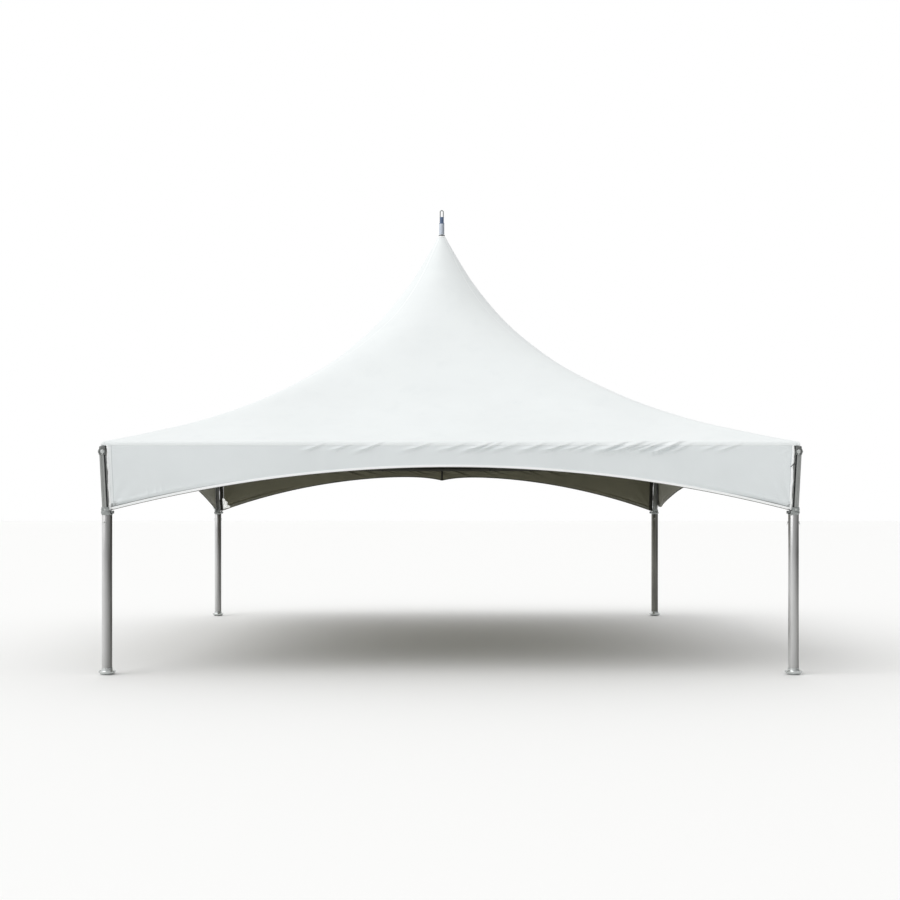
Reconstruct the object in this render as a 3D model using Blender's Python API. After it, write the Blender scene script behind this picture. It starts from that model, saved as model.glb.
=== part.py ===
"""High-peak marquee tent, 20 ft square: four legs, an eave frame, a flying mast on crossed cables and a tensioned
fabric cover with arched valances. Metres, +Z up, origin on the ground under the mast, front towards -Y."""

import math

import bmesh
import bpy
from mathutils import Matrix, Vector

# Plan and heights
HALF_SPAN = 3.05            # leg axis to the tent's centre, in x and in y
EAVE_HALF = 3.095           # outer face of the cover along the eave
EAVE_Z = 2.030              # seam between the roof and the valances
PEAK_HALF = 0.044           # radius of the cover's hole at the mast
GAP = 0.0003                # running gap between pieces that touch

# Cover
COVER_THICK = 0.004
ROOF_PROFILE = (            # distance from the mast and height at the middle of a side, peak to eave bend
    (PEAK_HALF, 4.580),
    (0.16, 4.373),
    (0.32, 4.110),
    (0.55, 3.794),
    (0.85, 3.443),
    (1.25, 3.028),
    (1.75, 2.642),
    (2.30, 2.342),
    (2.75, 2.173),
)
HIP_DEPTH = 1.17            # depth below the peak at which the hips start to show
HIP_POWER = 4.5
HIP_CLOSE = 4               # how late the hips turn sharp on their way to the eave's corners
ROOF_LEVELS = 16
ROOF_COLUMNS = 14
COLUMN_CROWDING = 1.5       # above 1, the columns crowd towards the hips
LEVEL_CROWDING = 1.5        # above 1, the levels crowd towards the peak
BEND_STEP = 15              # degrees between the cover's points where it bends over an eave tube
BEND_START = 75             # angle above the horizontal at which the cover meets the eave tube
VALANCE_THICK = 0.003
VALANCE_TOP_HALF = 3.040
VALANCE_FOOT_HALF = 3.020
VALANCE_LEAN = 0.022        # the foot of a valance lies this far inside its top
VALANCE_COLUMNS = 28
HEM_CORNER_Z = 1.455
HEM_RISE = 0.382            # rise of the arched hem from its corners to its middle
BACK_RISE = 0.495           # the same on the back valance, whose arch is fuller
BACK_POWER = 2.2
SCALLOP_X = 0.08            # the back hem dips here, at its middle seam
SCALLOP_DIP = 0.065
SCALLOP_REACH = 0.25

# Legs, feet and collars
LEG_R = 0.045
LEG_WALL = 0.0035
LEG_TOP = 1.415
PLATE_FLOOR = 0.008         # the leg stands this far above the ground, inside the plate's hub
PLATE_OUTLINE = (           # radius and height, from the hub's top over the rim to the flat underside
    (0.0470, 0.056),
    (0.0520, 0.034),
    (0.0620, 0.026),
    (0.0715, 0.031),
    (0.0755, 0.028),
    (0.0740, 0.018),
    (0.0650, 0.006),
    (0.0520, 0.000),
)
PLATE_SPIGOT_TOP = 0.120
SPIGOT_TAPER = 0.006
COLLAR_R = 0.053
COLLAR_NECK_R = 0.0475
COLLAR_NECK_TOP = 1.426
COLLAR_TOP = 1.448
COLLAR_SPIGOT = 0.120       # how far the collar reaches down into the leg
SOCKET_TOP = 1.485
SOCKET_HALF = 0.0335
HEM_LUG_NEAR = 0.030        # from the leg's axis to the near and the far side of a lug under a hem corner
HEM_LUG_FAR = 0.068
HEM_LUG_HALF = 0.008
HEM_LUG_FOOT = 1.426
TUBE_SIDES = 24

# Corner posts and crowns
POST_HALF = 0.029
POST_FOOT = HALF_SPAN + 0.008
POST_HEAD = HALF_SPAN + 0.027
POST_CORNER_R = 0.007
GROOVE_HALF = 0.0065
GROOVE_DEPTH = 0.009
CROWN_FOOT = 1.945
CROWN_TOP = 2.0265
CROWN_HALF = 0.034
CROWN_CUT = 0.020           # flat cut off the block's inner corner
CROWN_BEND = 0.026          # radius of its outer corner
CABLE_LUG_REACH = 4.262     # from the mast's axis, along the diagonal, to the lug's face
CABLE_LUG_END = 4.340       # and to its root in the block
CABLE_LUG_Z = 2.003
CABLE_LUG_HALF_HEIGHT = 0.016
CABLE_LUG_HALF_WIDTH = 0.0045

# Eave tubes
EAVE_R = 0.024
EAVE_WALL = 0.003
EAVE_AXIS = EAVE_HALF - COVER_THICK - GAP - EAVE_R
EAVE_AXIS_Z = 2.043
SHOULDER_END = 3.020        # the crown's shoulder ends here, and the tube begins
SPIGOT_END = 2.940

# Mast
MAST_R = 0.029
MAST_WALL = 0.003
MAST_TOP = 4.735
CUP_FOOT = 1.957
CUP_FLOOR = 1.970
CUP_TOP = 2.050
CUP_R = 0.045
FOOT_PLATE_REACH = 0.085
FOOT_PLATE_Z = 1.975
FOOT_PLATE_HALF = 0.010
HEAD_REACH = 0.14           # the head holds the cover out to this distance from the mast
HEAD_CLEAR = 0.0006
HEAD_RIM = 0.012
HEAD_DEPTH = 0.030
RING_R = 0.047
RING_HEIGHT = 0.014
EDGE = 0.003                # bevel on the small turned pieces
PLUG_R = 0.0235
PLUG_TOP = 4.812
EYE_HALF = 0.0175
EYE_ROD_R = 0.0058
EYE_TOP = 4.895
EYE_SINK = 0.010            # how far the eye's legs reach into the plug
PLUG_STEM = 0.050           # length of the plug inside the mast
PLUG_FLANGE = 0.008

# Cables
CABLE_R = 0.005
TURNBUCKLE_LENGTH = 0.30
TURNBUCKLE_R = 0.015
SCREW_R = 0.008
SCREW_LENGTH = 0.05
SCREW_SHOULDER = 0.008

CORNERS = ("back_right", "back_left", "front_left", "front_right")
SIDES = ("back", "left", "front", "right")

for old in list(bpy.data.objects):
    bpy.data.objects.remove(old, do_unlink=True)


def linear(hex_colour):
    """An sRGB hex colour as the linear RGBA that a shader takes."""
    channels = [int(hex_colour[i : i + 2], 16) / 255 for i in (0, 2, 4)]
    return [c / 12.92 if c <= 0.04045 else ((c + 0.055) / 1.055) ** 2.4 for c in channels] + [1.0]


def finish(name, hex_colour, roughness, metallic):
    material = bpy.data.materials.new(name)
    material.use_nodes = True
    shader = material.node_tree.nodes["Principled BSDF"]
    shader.inputs["Base Color"].default_value = linear(hex_colour)
    shader.inputs["Roughness"].default_value = roughness
    shader.inputs["Metallic"].default_value = metallic
    return material


COVER = finish("coated_fabric", "e9eeee", 0.5, 0.0)
ALUMINIUM = finish("mill_aluminium", "a9aaa8", 0.42, 0.9)
PROFILE = finish("extruded_aluminium", "8f9290", 0.45, 0.9)
ZINC = finish("galvanised_steel", "9ba09f", 0.5, 0.85)
CAST = finish("cast_crown", "6d706c", 0.6, 0.7)
WIRE_ROPE = finish("wire_rope", "80827f", 0.45, 0.9)
BLUED = finish("blued_plug", "4d5b70", 0.45, 0.6)


def face_outwards(bm):
    """Turns the faces of a closed bmesh outwards."""
    bmesh.ops.recalc_face_normals(bm, faces=bm.faces)
    if bm.calc_volume(signed=True) < 0:
        bmesh.ops.reverse_faces(bm, faces=bm.faces)


def mesh_of(bm, name):
    """Turns a bmesh into a mesh whose faces point out and whose round faces are shaded smooth."""
    face_outwards(bm)
    mesh = bpy.data.meshes.new(name)
    bm.to_mesh(mesh)
    bm.free()
    mesh.shade_smooth()
    mesh.set_sharp_from_angle(angle=math.radians(30))
    return mesh


def place(name, mesh, material, turn=0.0):
    """One named object, turned about the mast's axis."""
    piece = bpy.data.objects.new(name, mesh)
    if not mesh.materials:
        mesh.materials.append(material)
    piece.rotation_euler = (0.0, 0.0, turn)
    bpy.context.collection.objects.link(piece)
    return piece


def repeat(stem, names, mesh, material):
    """Four turned copies of a mesh that is modelled at the back, or at the back right corner."""
    for step, name in enumerate(names):
        place(f"{stem}_{name}", mesh, material, step * math.pi / 2)


def turned(profile, where=None, sides=TUBE_SIDES, closed=False):
    """A bmesh turned about its own Z from (radius, height) points, then moved to where. A closed profile is a ring."""
    bm = bmesh.new()
    points = [bm.verts.new((radius, 0.0, height)) for radius, height in profile]
    pairs = list(zip(points, points[1:] + points[:1])) if closed else list(zip(points, points[1:]))
    edges = [bm.edges.new(pair) for pair in pairs]
    bmesh.ops.spin(
        bm,
        geom=points + edges,
        cent=(0, 0, 0),
        axis=(0, 0, 1),
        angle=2 * math.pi,
        steps=sides,
        use_merge=True,
    )
    bmesh.ops.remove_doubles(bm, verts=bm.verts, dist=0.000001)
    if where is not None:
        bm.transform(where)
    return bm


def tube(outer, wall, length):
    """The closed (radius, height) outline of a tube's wall, standing on zero."""
    return [(outer, length), (outer, 0.0), (outer - wall, 0.0), (outer - wall, length)]


def rod(radius, length):
    """The open (radius, height) outline of a solid round bar, standing on zero."""
    return [(0.0, length), (radius, length), (radius, 0.0), (0.0, 0.0)]


def along(start, end):
    """The frame whose Z runs from start towards end."""
    start, end = Vector(start), Vector(end)
    return Matrix.Translation(start) @ (end - start).to_track_quat("Z", "Y").to_matrix().to_4x4()


def prism(outline, low, high, shift=(0.0, 0.0)):
    """A bmesh extruded upwards from an outline of (x, y) points; shift moves its top sideways."""
    bm = bmesh.new()
    face = bm.faces.new([bm.verts.new((x, y, low)) for x, y in outline])
    grown = bmesh.ops.extrude_face_region(bm, geom=[face])["geom"]
    top = [v for v in grown if isinstance(v, bmesh.types.BMVert)]
    bmesh.ops.translate(bm, verts=top, vec=(shift[0], shift[1], high - low))
    return bm


def box(low, high):
    """A bmesh box from its lowest to its highest corner."""
    x0, y0, z0 = low
    x1, y1, z1 = high
    return prism([(x0, y0), (x1, y0), (x1, y1), (x0, y1)], z0, z1)


def fused(bodies, name):
    """The mesh of several bmeshes joined into one body."""
    pieces = []
    for index, bm in enumerate(bodies):
        piece = bpy.data.objects.new(f"{name}_{index}", mesh_of(bm, f"{name}_{index}"))
        bpy.context.collection.objects.link(piece)
        pieces.append(piece)
    for other in pieces[1:]:
        join = pieces[0].modifiers.new("join", "BOOLEAN")
        join.operation = "UNION"
        join.object = other
    bpy.context.view_layer.update()
    evaluated = pieces[0].evaluated_get(bpy.context.evaluated_depsgraph_get())
    mesh = bpy.data.meshes.new_from_object(evaluated)
    mesh.name = name
    mesh.shade_smooth()
    mesh.set_sharp_from_angle(angle=math.radians(30))
    for piece in pieces:
        bpy.data.objects.remove(piece, do_unlink=True)
    return mesh


def roof_z(half):
    """Height of the cover's outer face this far from the mast, on a smooth line through the roof profile."""
    points = ROOF_PROFILE + (bend_points()[0],)
    steps = [(q[1] - p[1]) / (q[0] - p[0]) for p, q in zip(points, points[1:])]
    slopes = []
    for i in range(1, len(points) - 1):
        before = points[i][0] - points[i - 1][0]
        after = points[i + 1][0] - points[i][0]
        slopes.append((steps[i - 1] * after + steps[i] * before) / (before + after))
    slopes = [2 * steps[0] - slopes[0]] + slopes + [-1 / math.tan(math.radians(BEND_START))]
    last = len(points) - 2
    i = min(last, max(k for k in range(last + 1) if points[k][0] <= half + GAP))
    (start, high), (end, low) = points[i], points[i + 1]
    width = end - start
    t = (half - start) / width
    ends = (2 * t**3 - 3 * t**2 + 1) * high + (3 * t**2 - 2 * t**3) * low
    return ends + width * ((t**3 - 2 * t**2 + t) * slopes[i] + (t**3 - t**2) * slopes[i + 1])


def bend_points():
    """The cover's outer points over an eave tube, as (distance from the mast, height), from the roof downwards."""
    radius = EAVE_R + GAP + COVER_THICK
    angles = [math.radians(a) for a in range(BEND_START, -1, -BEND_STEP)]
    return [(EAVE_AXIS + radius * math.cos(a), EAVE_AXIS_Z + radius * math.sin(a)) for a in angles]


def roof_outline(inset=0.0):
    """The roof's profile from peak to seam, as (distance from the mast, height), moved in square to itself."""
    bend = bend_points()
    span = bend[0][0] - PEAK_HALF
    outline = []
    for i in range(ROOF_LEVELS):
        half = PEAK_HALF + span * (i / ROOF_LEVELS) ** LEVEL_CROWDING
        slope = (roof_z(half + 0.01) - roof_z(half)) / 0.01
        size = math.hypot(slope, 1)
        outline.append((half + inset * slope / size, roof_z(half) - inset / size))
    for i, (half, height) in enumerate(bend):
        angle = math.radians(BEND_START - i * BEND_STEP)
        outline.append((half - inset * math.cos(angle), height - inset * math.sin(angle)))
    outline.append((EAVE_HALF - inset, EAVE_Z))
    return outline


def roof_point(half, height, angle):
    """A point of the back roof panel. Its sections are round at the peak and turn square towards the eave."""
    depth = ROOF_PROFILE[0][1] - height
    share = depth / (ROOF_PROFILE[0][1] - bend_points()[0][1])
    reach = half / math.cos(angle)
    if share < 1 - GAP:
        sharpness = 2 + (max(depth, 0.0) / HIP_DEPTH) ** HIP_POWER / (1 - share**HIP_CLOSE)
        reach /= (1 + abs(math.tan(angle)) ** sharpness) ** (1 / sharpness)
    return Vector((reach * math.sin(angle), reach * math.cos(angle) + GAP, height))


def column_angles():
    """The angles of the roof panel's columns of points, from one hip to the other."""
    angles = []
    for i in range(ROOF_COLUMNS + 1):
        across = 2 * i / ROOF_COLUMNS - 1
        share = 1 - (1 - abs(across)) ** COLUMN_CROWDING
        angles.append(math.copysign(share * math.pi / 4, across))
    return angles


def shell(outer, inner):
    """A closed bmesh between two grids of points of the same size."""
    bm = bmesh.new()
    skins = [[[bm.verts.new(point) for point in row] for row in rows] for rows in (outer, inner)]
    for grid in skins:
        for upper, lower in zip(grid, grid[1:]):
            for i in range(len(upper) - 1):
                bm.faces.new((upper[i], upper[i + 1], lower[i + 1], lower[i]))
    rims = []
    for grid in skins:
        down = [row[-1] for row in grid[1:-1]]
        up = [row[0] for row in grid[-2:0:-1]]
        rims.append(list(grid[0]) + down + list(reversed(grid[-1])) + up)
    count = len(rims[0])
    for i in range(count):
        j = (i + 1) % count
        bm.faces.new((rims[0][i], rims[0][j], rims[1][j], rims[1][i]))
    return bm


def roof_panels():
    angles = column_angles()
    skins = []
    for inset in (0.0, COVER_THICK):
        skins.append([[roof_point(half, z, angle) for angle in angles] for half, z in roof_outline(inset)])
    repeat("roof_panel", SIDES, mesh_of(shell(*skins), "roof_panel"), COVER)


def arched_hem(along_half):
    """Height of the front and side hems at a share of the half width."""
    return HEM_CORNER_Z + HEM_RISE * (1 - along_half**2)


def scalloped_hem(along_half):
    """Height of the back hem: a fuller arch that dips to a point at its middle seam."""
    arch = HEM_CORNER_Z + BACK_RISE * (1 - abs(along_half) ** BACK_POWER)
    off_seam = abs(along_half * VALANCE_FOOT_HALF - SCALLOP_X)
    return arch - SCALLOP_DIP * math.exp(-off_seam / SCALLOP_REACH)


def valance(hem):
    """A flat panel that hangs from the back eave, with its outer face leaning in towards its foot."""
    top_z = EAVE_Z - GAP
    shares = [-1 + 2 * i / VALANCE_COLUMNS for i in range(VALANCE_COLUMNS + 1)]
    upper = [Vector((share * VALANCE_TOP_HALF, EAVE_HALF, top_z)) for share in shares]
    lower = []
    for share in shares:
        low = hem(share)
        lean = VALANCE_LEAN * (top_z - low) / (top_z - HEM_CORNER_Z)
        lower.append(Vector((share * VALANCE_FOOT_HALF, EAVE_HALF - lean, low)))
    inward = Vector((0.0, -VALANCE_THICK, 0.0))
    inner = [[point + inward for point in row] for row in (upper, lower)]
    return mesh_of(shell([upper, lower], inner), "valance")


def valances():
    arched = valance(arched_hem)
    for step, name in enumerate(SIDES):
        mesh = valance(scalloped_hem) if name == "back" else arched
        place(f"valance_{name}", mesh, COVER, step * math.pi / 2)


def legs():
    at_corner = Matrix.Translation((HALF_SPAN, HALF_SPAN, PLATE_FLOOR + GAP))
    length = LEG_TOP - PLATE_FLOOR - GAP
    leg = turned(tube(LEG_R, LEG_WALL, length), at_corner, closed=True)
    repeat("leg", CORNERS, mesh_of(leg, "leg"), ALUMINIUM)


def base_plates():
    """A saucer with a hub round the leg, a spigot inside it and a flat underside."""
    inside = LEG_R - LEG_WALL - GAP
    outside = LEG_R + GAP
    profile = [
        (0.0, PLATE_SPIGOT_TOP),
        (inside - SPIGOT_TAPER, PLATE_SPIGOT_TOP),
        (inside, PLATE_SPIGOT_TOP - 2 * SPIGOT_TAPER),
        (inside, PLATE_FLOOR),
        (outside, PLATE_FLOOR),
        (outside, PLATE_OUTLINE[0][1]),
    ]
    profile += list(PLATE_OUTLINE) + [(0.0, 0.0)]
    plate = turned(profile, Matrix.Translation((HALF_SPAN, HALF_SPAN, 0.0)))
    repeat("base_plate", CORNERS, mesh_of(plate, "base_plate"), ZINC)


def leg_collars():
    """A cap with a spigot in the leg, a square socket for the post and two lugs under the valances' corners."""
    inside = LEG_R - LEG_WALL - GAP
    base = LEG_TOP + GAP
    profile = [
        (0.0, COLLAR_TOP),
        (COLLAR_R - EDGE, COLLAR_TOP),
        (COLLAR_R, COLLAR_TOP - EDGE),
        (COLLAR_R, COLLAR_NECK_TOP + EDGE),
        (COLLAR_NECK_R, COLLAR_NECK_TOP),
        (COLLAR_NECK_R, base),
        (inside, base),
        (inside, base - COLLAR_SPIGOT),
        (0.0, base - COLLAR_SPIGOT),
    ]
    cap = turned(profile, Matrix.Translation((HALF_SPAN, HALF_SPAN, 0.0)))
    low, high = POST_FOOT - SOCKET_HALF, POST_FOOT + SOCKET_HALF
    socket = box((low, low, COLLAR_NECK_TOP), (high, high, SOCKET_TOP))
    lug_axis = EAVE_HALF - VALANCE_LEAN - VALANCE_THICK / 2
    lug_low = (HALF_SPAN - HEM_LUG_FAR, lug_axis - HEM_LUG_HALF, HEM_LUG_FOOT)
    lug_high = (HALF_SPAN - HEM_LUG_NEAR, lug_axis + HEM_LUG_HALF, HEM_CORNER_Z - GAP)
    lug_x = box(lug_low, lug_high)
    lug_y = box((lug_low[1], lug_low[0], lug_low[2]), (lug_high[1], lug_high[0], lug_high[2]))
    repeat("leg_collar", CORNERS, fused([cap, socket, lug_x, lug_y], "leg_collar"), ZINC)


def grooved_square():
    """One turn of the post's section: rounded corners, and a groove in the middle of each side."""
    side = [
        (POST_HALF, -GROOVE_HALF),
        (POST_HALF - GROOVE_DEPTH, -GROOVE_HALF),
        (POST_HALF - GROOVE_DEPTH, GROOVE_HALF),
        (POST_HALF, GROOVE_HALF),
    ]
    centre = POST_HALF - POST_CORNER_R
    for i in range(4):
        angle = math.radians(30 * i)
        side.append((centre + POST_CORNER_R * math.cos(angle), centre + POST_CORNER_R * math.sin(angle)))
    outline = []
    for quarter in range(4):
        turn = Matrix.Rotation(quarter * math.pi / 2, 2)
        outline += [tuple(turn @ Vector(point)) for point in side]
    return outline


def corner_posts():
    outline = [(x + POST_FOOT, y + POST_FOOT) for x, y in grooved_square()]
    lean = POST_HEAD - POST_FOOT
    post = prism(outline, SOCKET_TOP + GAP, CROWN_FOOT - GAP, (lean, lean))
    repeat("corner_post", CORNERS, mesh_of(post, "corner_post"), PROFILE)


def crown_block():
    """The casting's block, rounded at its outer corner and cut off flat at its inner one."""
    low, high = POST_HEAD - CROWN_HALF, POST_HEAD + CROWN_HALF
    centre = high - CROWN_BEND
    outline = [(low + CROWN_CUT, low), (high, low)]
    for i in range(6):
        angle = math.radians(90 * i / 5)
        outline.append((centre + CROWN_BEND * math.cos(angle), centre + CROWN_BEND * math.sin(angle)))
    outline += [(low, high), (low, low + CROWN_CUT)]
    return prism(outline, CROWN_FOOT, CROWN_TOP)


def corner_crowns():
    """A casting on the post, with a shoulder and a spigot for each eave tube and a lug for the cable."""
    elbow = (EAVE_AXIS, EAVE_AXIS, EAVE_AXIS_Z)
    half_circle = [math.radians(15 * i) for i in range(13)]
    ball = [(EAVE_R * math.sin(a), EAVE_R * math.cos(a)) for a in half_circle]
    bodies = [crown_block(), turned(ball, Matrix.Translation(elbow))]
    inside = EAVE_R - EAVE_WALL - GAP
    for axis in (0, 1):
        shoulder, tip = list(elbow), list(elbow)
        shoulder[axis], tip[axis] = SHOULDER_END, SPIGOT_END
        bodies.append(turned(rod(EAVE_R, EAVE_AXIS - SHOULDER_END), along(elbow, shoulder)))
        bodies.append(turned(rod(inside, EAVE_AXIS - SPIGOT_END), along(elbow, tip)))
    lug = box(
        (CABLE_LUG_REACH, -CABLE_LUG_HALF_WIDTH, CABLE_LUG_Z - CABLE_LUG_HALF_HEIGHT),
        (CABLE_LUG_END, CABLE_LUG_HALF_WIDTH, CABLE_LUG_Z + CABLE_LUG_HALF_HEIGHT),
    )
    lug.transform(Matrix.Rotation(math.pi / 4, 4, "Z"))
    bodies.append(lug)
    repeat("corner_crown", CORNERS, fused(bodies, "corner_crown"), CAST)


def eave_tubes():
    end = SHOULDER_END - GAP
    where = along((end, EAVE_AXIS, EAVE_AXIS_Z), (-end, EAVE_AXIS, EAVE_AXIS_Z))
    eave = turned(tube(EAVE_R, EAVE_WALL, 2 * end), where, closed=True)
    repeat("eave_tube", SIDES, mesh_of(eave, "eave_tube"), ALUMINIUM)


def mast():
    length = MAST_TOP - CUP_FLOOR - GAP
    pole = turned(tube(MAST_R, MAST_WALL, length), Matrix.Translation((0, 0, CUP_FLOOR + GAP)), closed=True)
    place("mast", mesh_of(pole, "mast"), ZINC)


def mast_foot():
    """A cup for the mast on an eight-sided plate, whose diagonal flats take the cables."""
    bore = MAST_R + GAP
    cup = turned(
        [
            (0.0, CUP_FLOOR),
            (bore, CUP_FLOOR),
            (bore, CUP_TOP),
            (CUP_R - EDGE, CUP_TOP),
            (CUP_R, CUP_TOP - EDGE),
            (CUP_R, CUP_FOOT + EDGE),
            (CUP_R - EDGE, CUP_FOOT),
            (0.0, CUP_FOOT),
        ]
    )
    corner = FOOT_PLATE_REACH / math.cos(math.pi / 8)
    angles = [math.pi / 8 + i * math.pi / 4 for i in range(8)]
    outer = [(corner * math.cos(a), corner * math.sin(a)) for a in angles]
    plate = prism(outer, FOOT_PLATE_Z - FOOT_PLATE_HALF, FOOT_PLATE_Z + FOOT_PLATE_HALF)
    clear = turned(rod(bore, CUP_TOP), Matrix.Translation((0, 0, CUP_FLOOR)))
    mesh = fused([cup, plate], "mast_foot")
    foot = place("mast_foot", mesh, ZINC)
    cutter = place("mast_bore", mesh_of(clear, "mast_bore"), ZINC)
    cutter.hide_render = True
    cutter.display_type = "WIRE"
    cut = foot.modifiers.new("bore", "BOOLEAN")
    cut.operation = "DIFFERENCE"
    cut.object = cutter


def mast_head():
    """A flared ring on the mast that follows the cover's inner face."""
    bore = MAST_R + GAP
    outer = [point for point in roof_outline(COVER_THICK + HEAD_CLEAR) if point[0] < HEAD_REACH]
    top, rim = outer[0][1], outer[-1]
    profile = outer + [(rim[0], rim[1] - HEAD_RIM), (bore, rim[1] - HEAD_DEPTH), (bore, top)]
    head = turned(profile, closed=True, sides=4 * ROOF_COLUMNS)
    place("mast_head", mesh_of(head, "mast_head"), CAST)


def peak_ring():
    """A clamp ring on the mast, over the edge of the cover."""
    low = ROOF_PROFILE[0][1] + GAP
    profile = [
        (RING_R - EDGE, low + RING_HEIGHT),
        (RING_R, low + RING_HEIGHT - EDGE),
        (RING_R, low),
        (MAST_R + GAP, low),
        (MAST_R + GAP, low + RING_HEIGHT),
    ]
    place("peak_ring", mesh_of(turned(profile, closed=True), "peak_ring"), CAST)


def lifting_eye():
    """A plug in the mast's top with a bent bar on it as an eye."""
    base = MAST_TOP + GAP
    plug = turned(
        [
            (0.0, PLUG_TOP),
            (PLUG_R - EDGE, PLUG_TOP),
            (PLUG_R, PLUG_TOP - EDGE),
            (PLUG_R, base + PLUG_FLANGE + EDGE),
            (MAST_R, base + PLUG_FLANGE),
            (MAST_R, base),
            (MAST_R - MAST_WALL - GAP, base),
            (MAST_R - MAST_WALL - GAP, base - PLUG_STEM),
            (0.0, base - PLUG_STEM),
        ]
    )
    spring_line = EYE_TOP - EYE_ROD_R - EYE_HALF
    points = [(-EYE_HALF, PLUG_TOP - EYE_SINK)]
    points += [
        (-EYE_HALF * math.cos(math.pi * i / 10), spring_line + EYE_HALF * math.sin(math.pi * i / 10))
        for i in range(11)
    ]
    points.append((EYE_HALF, PLUG_TOP - EYE_SINK))
    curve = bpy.data.curves.new("eye_bar", "CURVE")
    curve.dimensions = "3D"
    curve.bevel_depth = EYE_ROD_R
    curve.bevel_resolution = 2
    curve.use_fill_caps = True
    line = curve.splines.new("POLY")
    line.points.add(len(points) - 1)
    for point, (x, z) in zip(line.points, points):
        point.co = (x, 0.0, z, 1.0)
    bar = bpy.data.objects.new("eye_bar", curve)
    bpy.context.collection.objects.link(bar)
    bpy.context.view_layer.update()
    bent = bmesh.new()
    bent.from_mesh(bpy.data.meshes.new_from_object(bar.evaluated_get(bpy.context.evaluated_depsgraph_get())))
    bpy.data.objects.remove(bar, do_unlink=True)
    bmesh.ops.remove_doubles(bent, verts=bent.verts, dist=0.000001)
    place("lifting_eye", fused([plug, bent], "lifting_eye"), BLUED)


def cables():
    """Four half cables from the crowns down to the mast's foot, each with a turnbuckle at its crown."""
    turn = Matrix.Rotation(math.pi / 4, 4, "Z")
    foot = turn @ Vector((FOOT_PLATE_REACH, 0.0, FOOT_PLATE_Z))
    crown = turn @ Vector((CABLE_LUG_REACH, 0.0, CABLE_LUG_Z))
    way = (foot - crown).normalized()
    start = crown + way * 2 * GAP
    middle = start + way * TURNBUCKLE_LENGTH
    end = foot - way * 2 * GAP
    barrel = [
        (0.0, TURNBUCKLE_LENGTH),
        (SCREW_R, TURNBUCKLE_LENGTH),
        (SCREW_R, TURNBUCKLE_LENGTH - SCREW_LENGTH),
        (TURNBUCKLE_R, TURNBUCKLE_LENGTH - SCREW_LENGTH - SCREW_SHOULDER),
        (TURNBUCKLE_R, SCREW_LENGTH + SCREW_SHOULDER),
        (SCREW_R, SCREW_LENGTH),
        (SCREW_R, 0.0),
        (0.0, 0.0),
    ]
    screw = turned(barrel, along(start, middle), sides=12)
    repeat("turnbuckle", CORNERS, mesh_of(screw, "turnbuckle"), ZINC)
    head = middle + way * GAP
    wire = turned(rod(CABLE_R, (end - head).length), along(head, end), sides=8)
    repeat("cable", CORNERS, mesh_of(wire, "cable"), WIRE_ROPE)


legs()
base_plates()
leg_collars()
corner_posts()
corner_crowns()
eave_tubes()
roof_panels()
valances()
mast()
mast_foot()
mast_head()
peak_ring()
lifting_eye()
cables()
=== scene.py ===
"""High-peak marquee tent, 20 ft square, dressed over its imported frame. Metres, +Z up, front towards -Y."""

import math
import random

import bpy
import numpy as np
from mathutils import Matrix, Vector


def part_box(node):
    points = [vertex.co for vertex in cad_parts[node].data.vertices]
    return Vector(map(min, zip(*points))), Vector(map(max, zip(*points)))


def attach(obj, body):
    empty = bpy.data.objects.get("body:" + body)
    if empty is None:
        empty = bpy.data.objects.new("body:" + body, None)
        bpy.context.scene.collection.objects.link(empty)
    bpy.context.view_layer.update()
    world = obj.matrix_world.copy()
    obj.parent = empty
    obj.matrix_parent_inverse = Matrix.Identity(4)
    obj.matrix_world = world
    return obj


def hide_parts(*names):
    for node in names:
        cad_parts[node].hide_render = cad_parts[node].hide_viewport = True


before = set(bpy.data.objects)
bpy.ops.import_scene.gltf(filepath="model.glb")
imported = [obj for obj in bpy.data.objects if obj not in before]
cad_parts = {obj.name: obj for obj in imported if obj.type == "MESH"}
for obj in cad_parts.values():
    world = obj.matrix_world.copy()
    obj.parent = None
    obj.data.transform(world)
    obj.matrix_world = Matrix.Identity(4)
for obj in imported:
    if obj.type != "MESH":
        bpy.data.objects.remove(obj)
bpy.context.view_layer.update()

CORNERS = ("back_right", "back_left", "front_left", "front_right")
SIDES = ("back", "left", "front", "right")
QUARTER = math.pi / 2
X, Y, Z = Vector((1, 0, 0)), Vector((0, 1, 0)), Vector((0, 0, 1))

# ---------------------------------------------------------------- sizes, in metres, as in the frame
GAP = 0.0003                 # running gap between pieces that touch
# roof
EAVE = 3.095                 # outer face of the cover along the eave
SEAM_Z = 2.030               # seam between the roof and the valances
PEAK = 0.044                 # radius of the cover's mouth at the mast
ROOF_LINE = (                # distance from the mast and height of the cloth, from the peak to the eave
    (PEAK, 4.580), (0.16, 4.373), (0.32, 4.110), (0.55, 3.794), (0.85, 3.443), (1.25, 3.028), (1.75, 2.642),
    (2.30, 2.342), (2.75, 2.173),
)
PEAK_Z = ROOF_LINE[0][1]
CLOTH = 0.0014
TUBE_R = 0.024               # eave tube, which the cover bends over
BEND_R = TUBE_R + GAP + 0.004
EAVE_AXIS, EAVE_AXIS_Z = EAVE - BEND_R, 2.043
BEND_ANGLE = math.radians(75)
BEND_TOP = (EAVE_AXIS + BEND_R * math.cos(BEND_ANGLE), EAVE_AXIS_Z + BEND_R * math.sin(BEND_ANGLE))
BEND_ARC = BEND_R * BEND_ANGLE
TURN_DOWN = BEND_ARC + EAVE_AXIS_Z - SEAM_Z      # cloth from the top of the bend to the seam
HIP_DEPTH, HIP_POWER, HIP_CLOSE = 1.17, 4.5, 4   # where below the peak the hips start to show, and how they sharpen
FIELD_SHARE = 0.955          # share of the grid's rows above the bend
ROW_CROWD, COLUMN_CROWD = 1.45, 1.22             # above 1, rows crowd towards the peak and columns towards the hips
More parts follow.
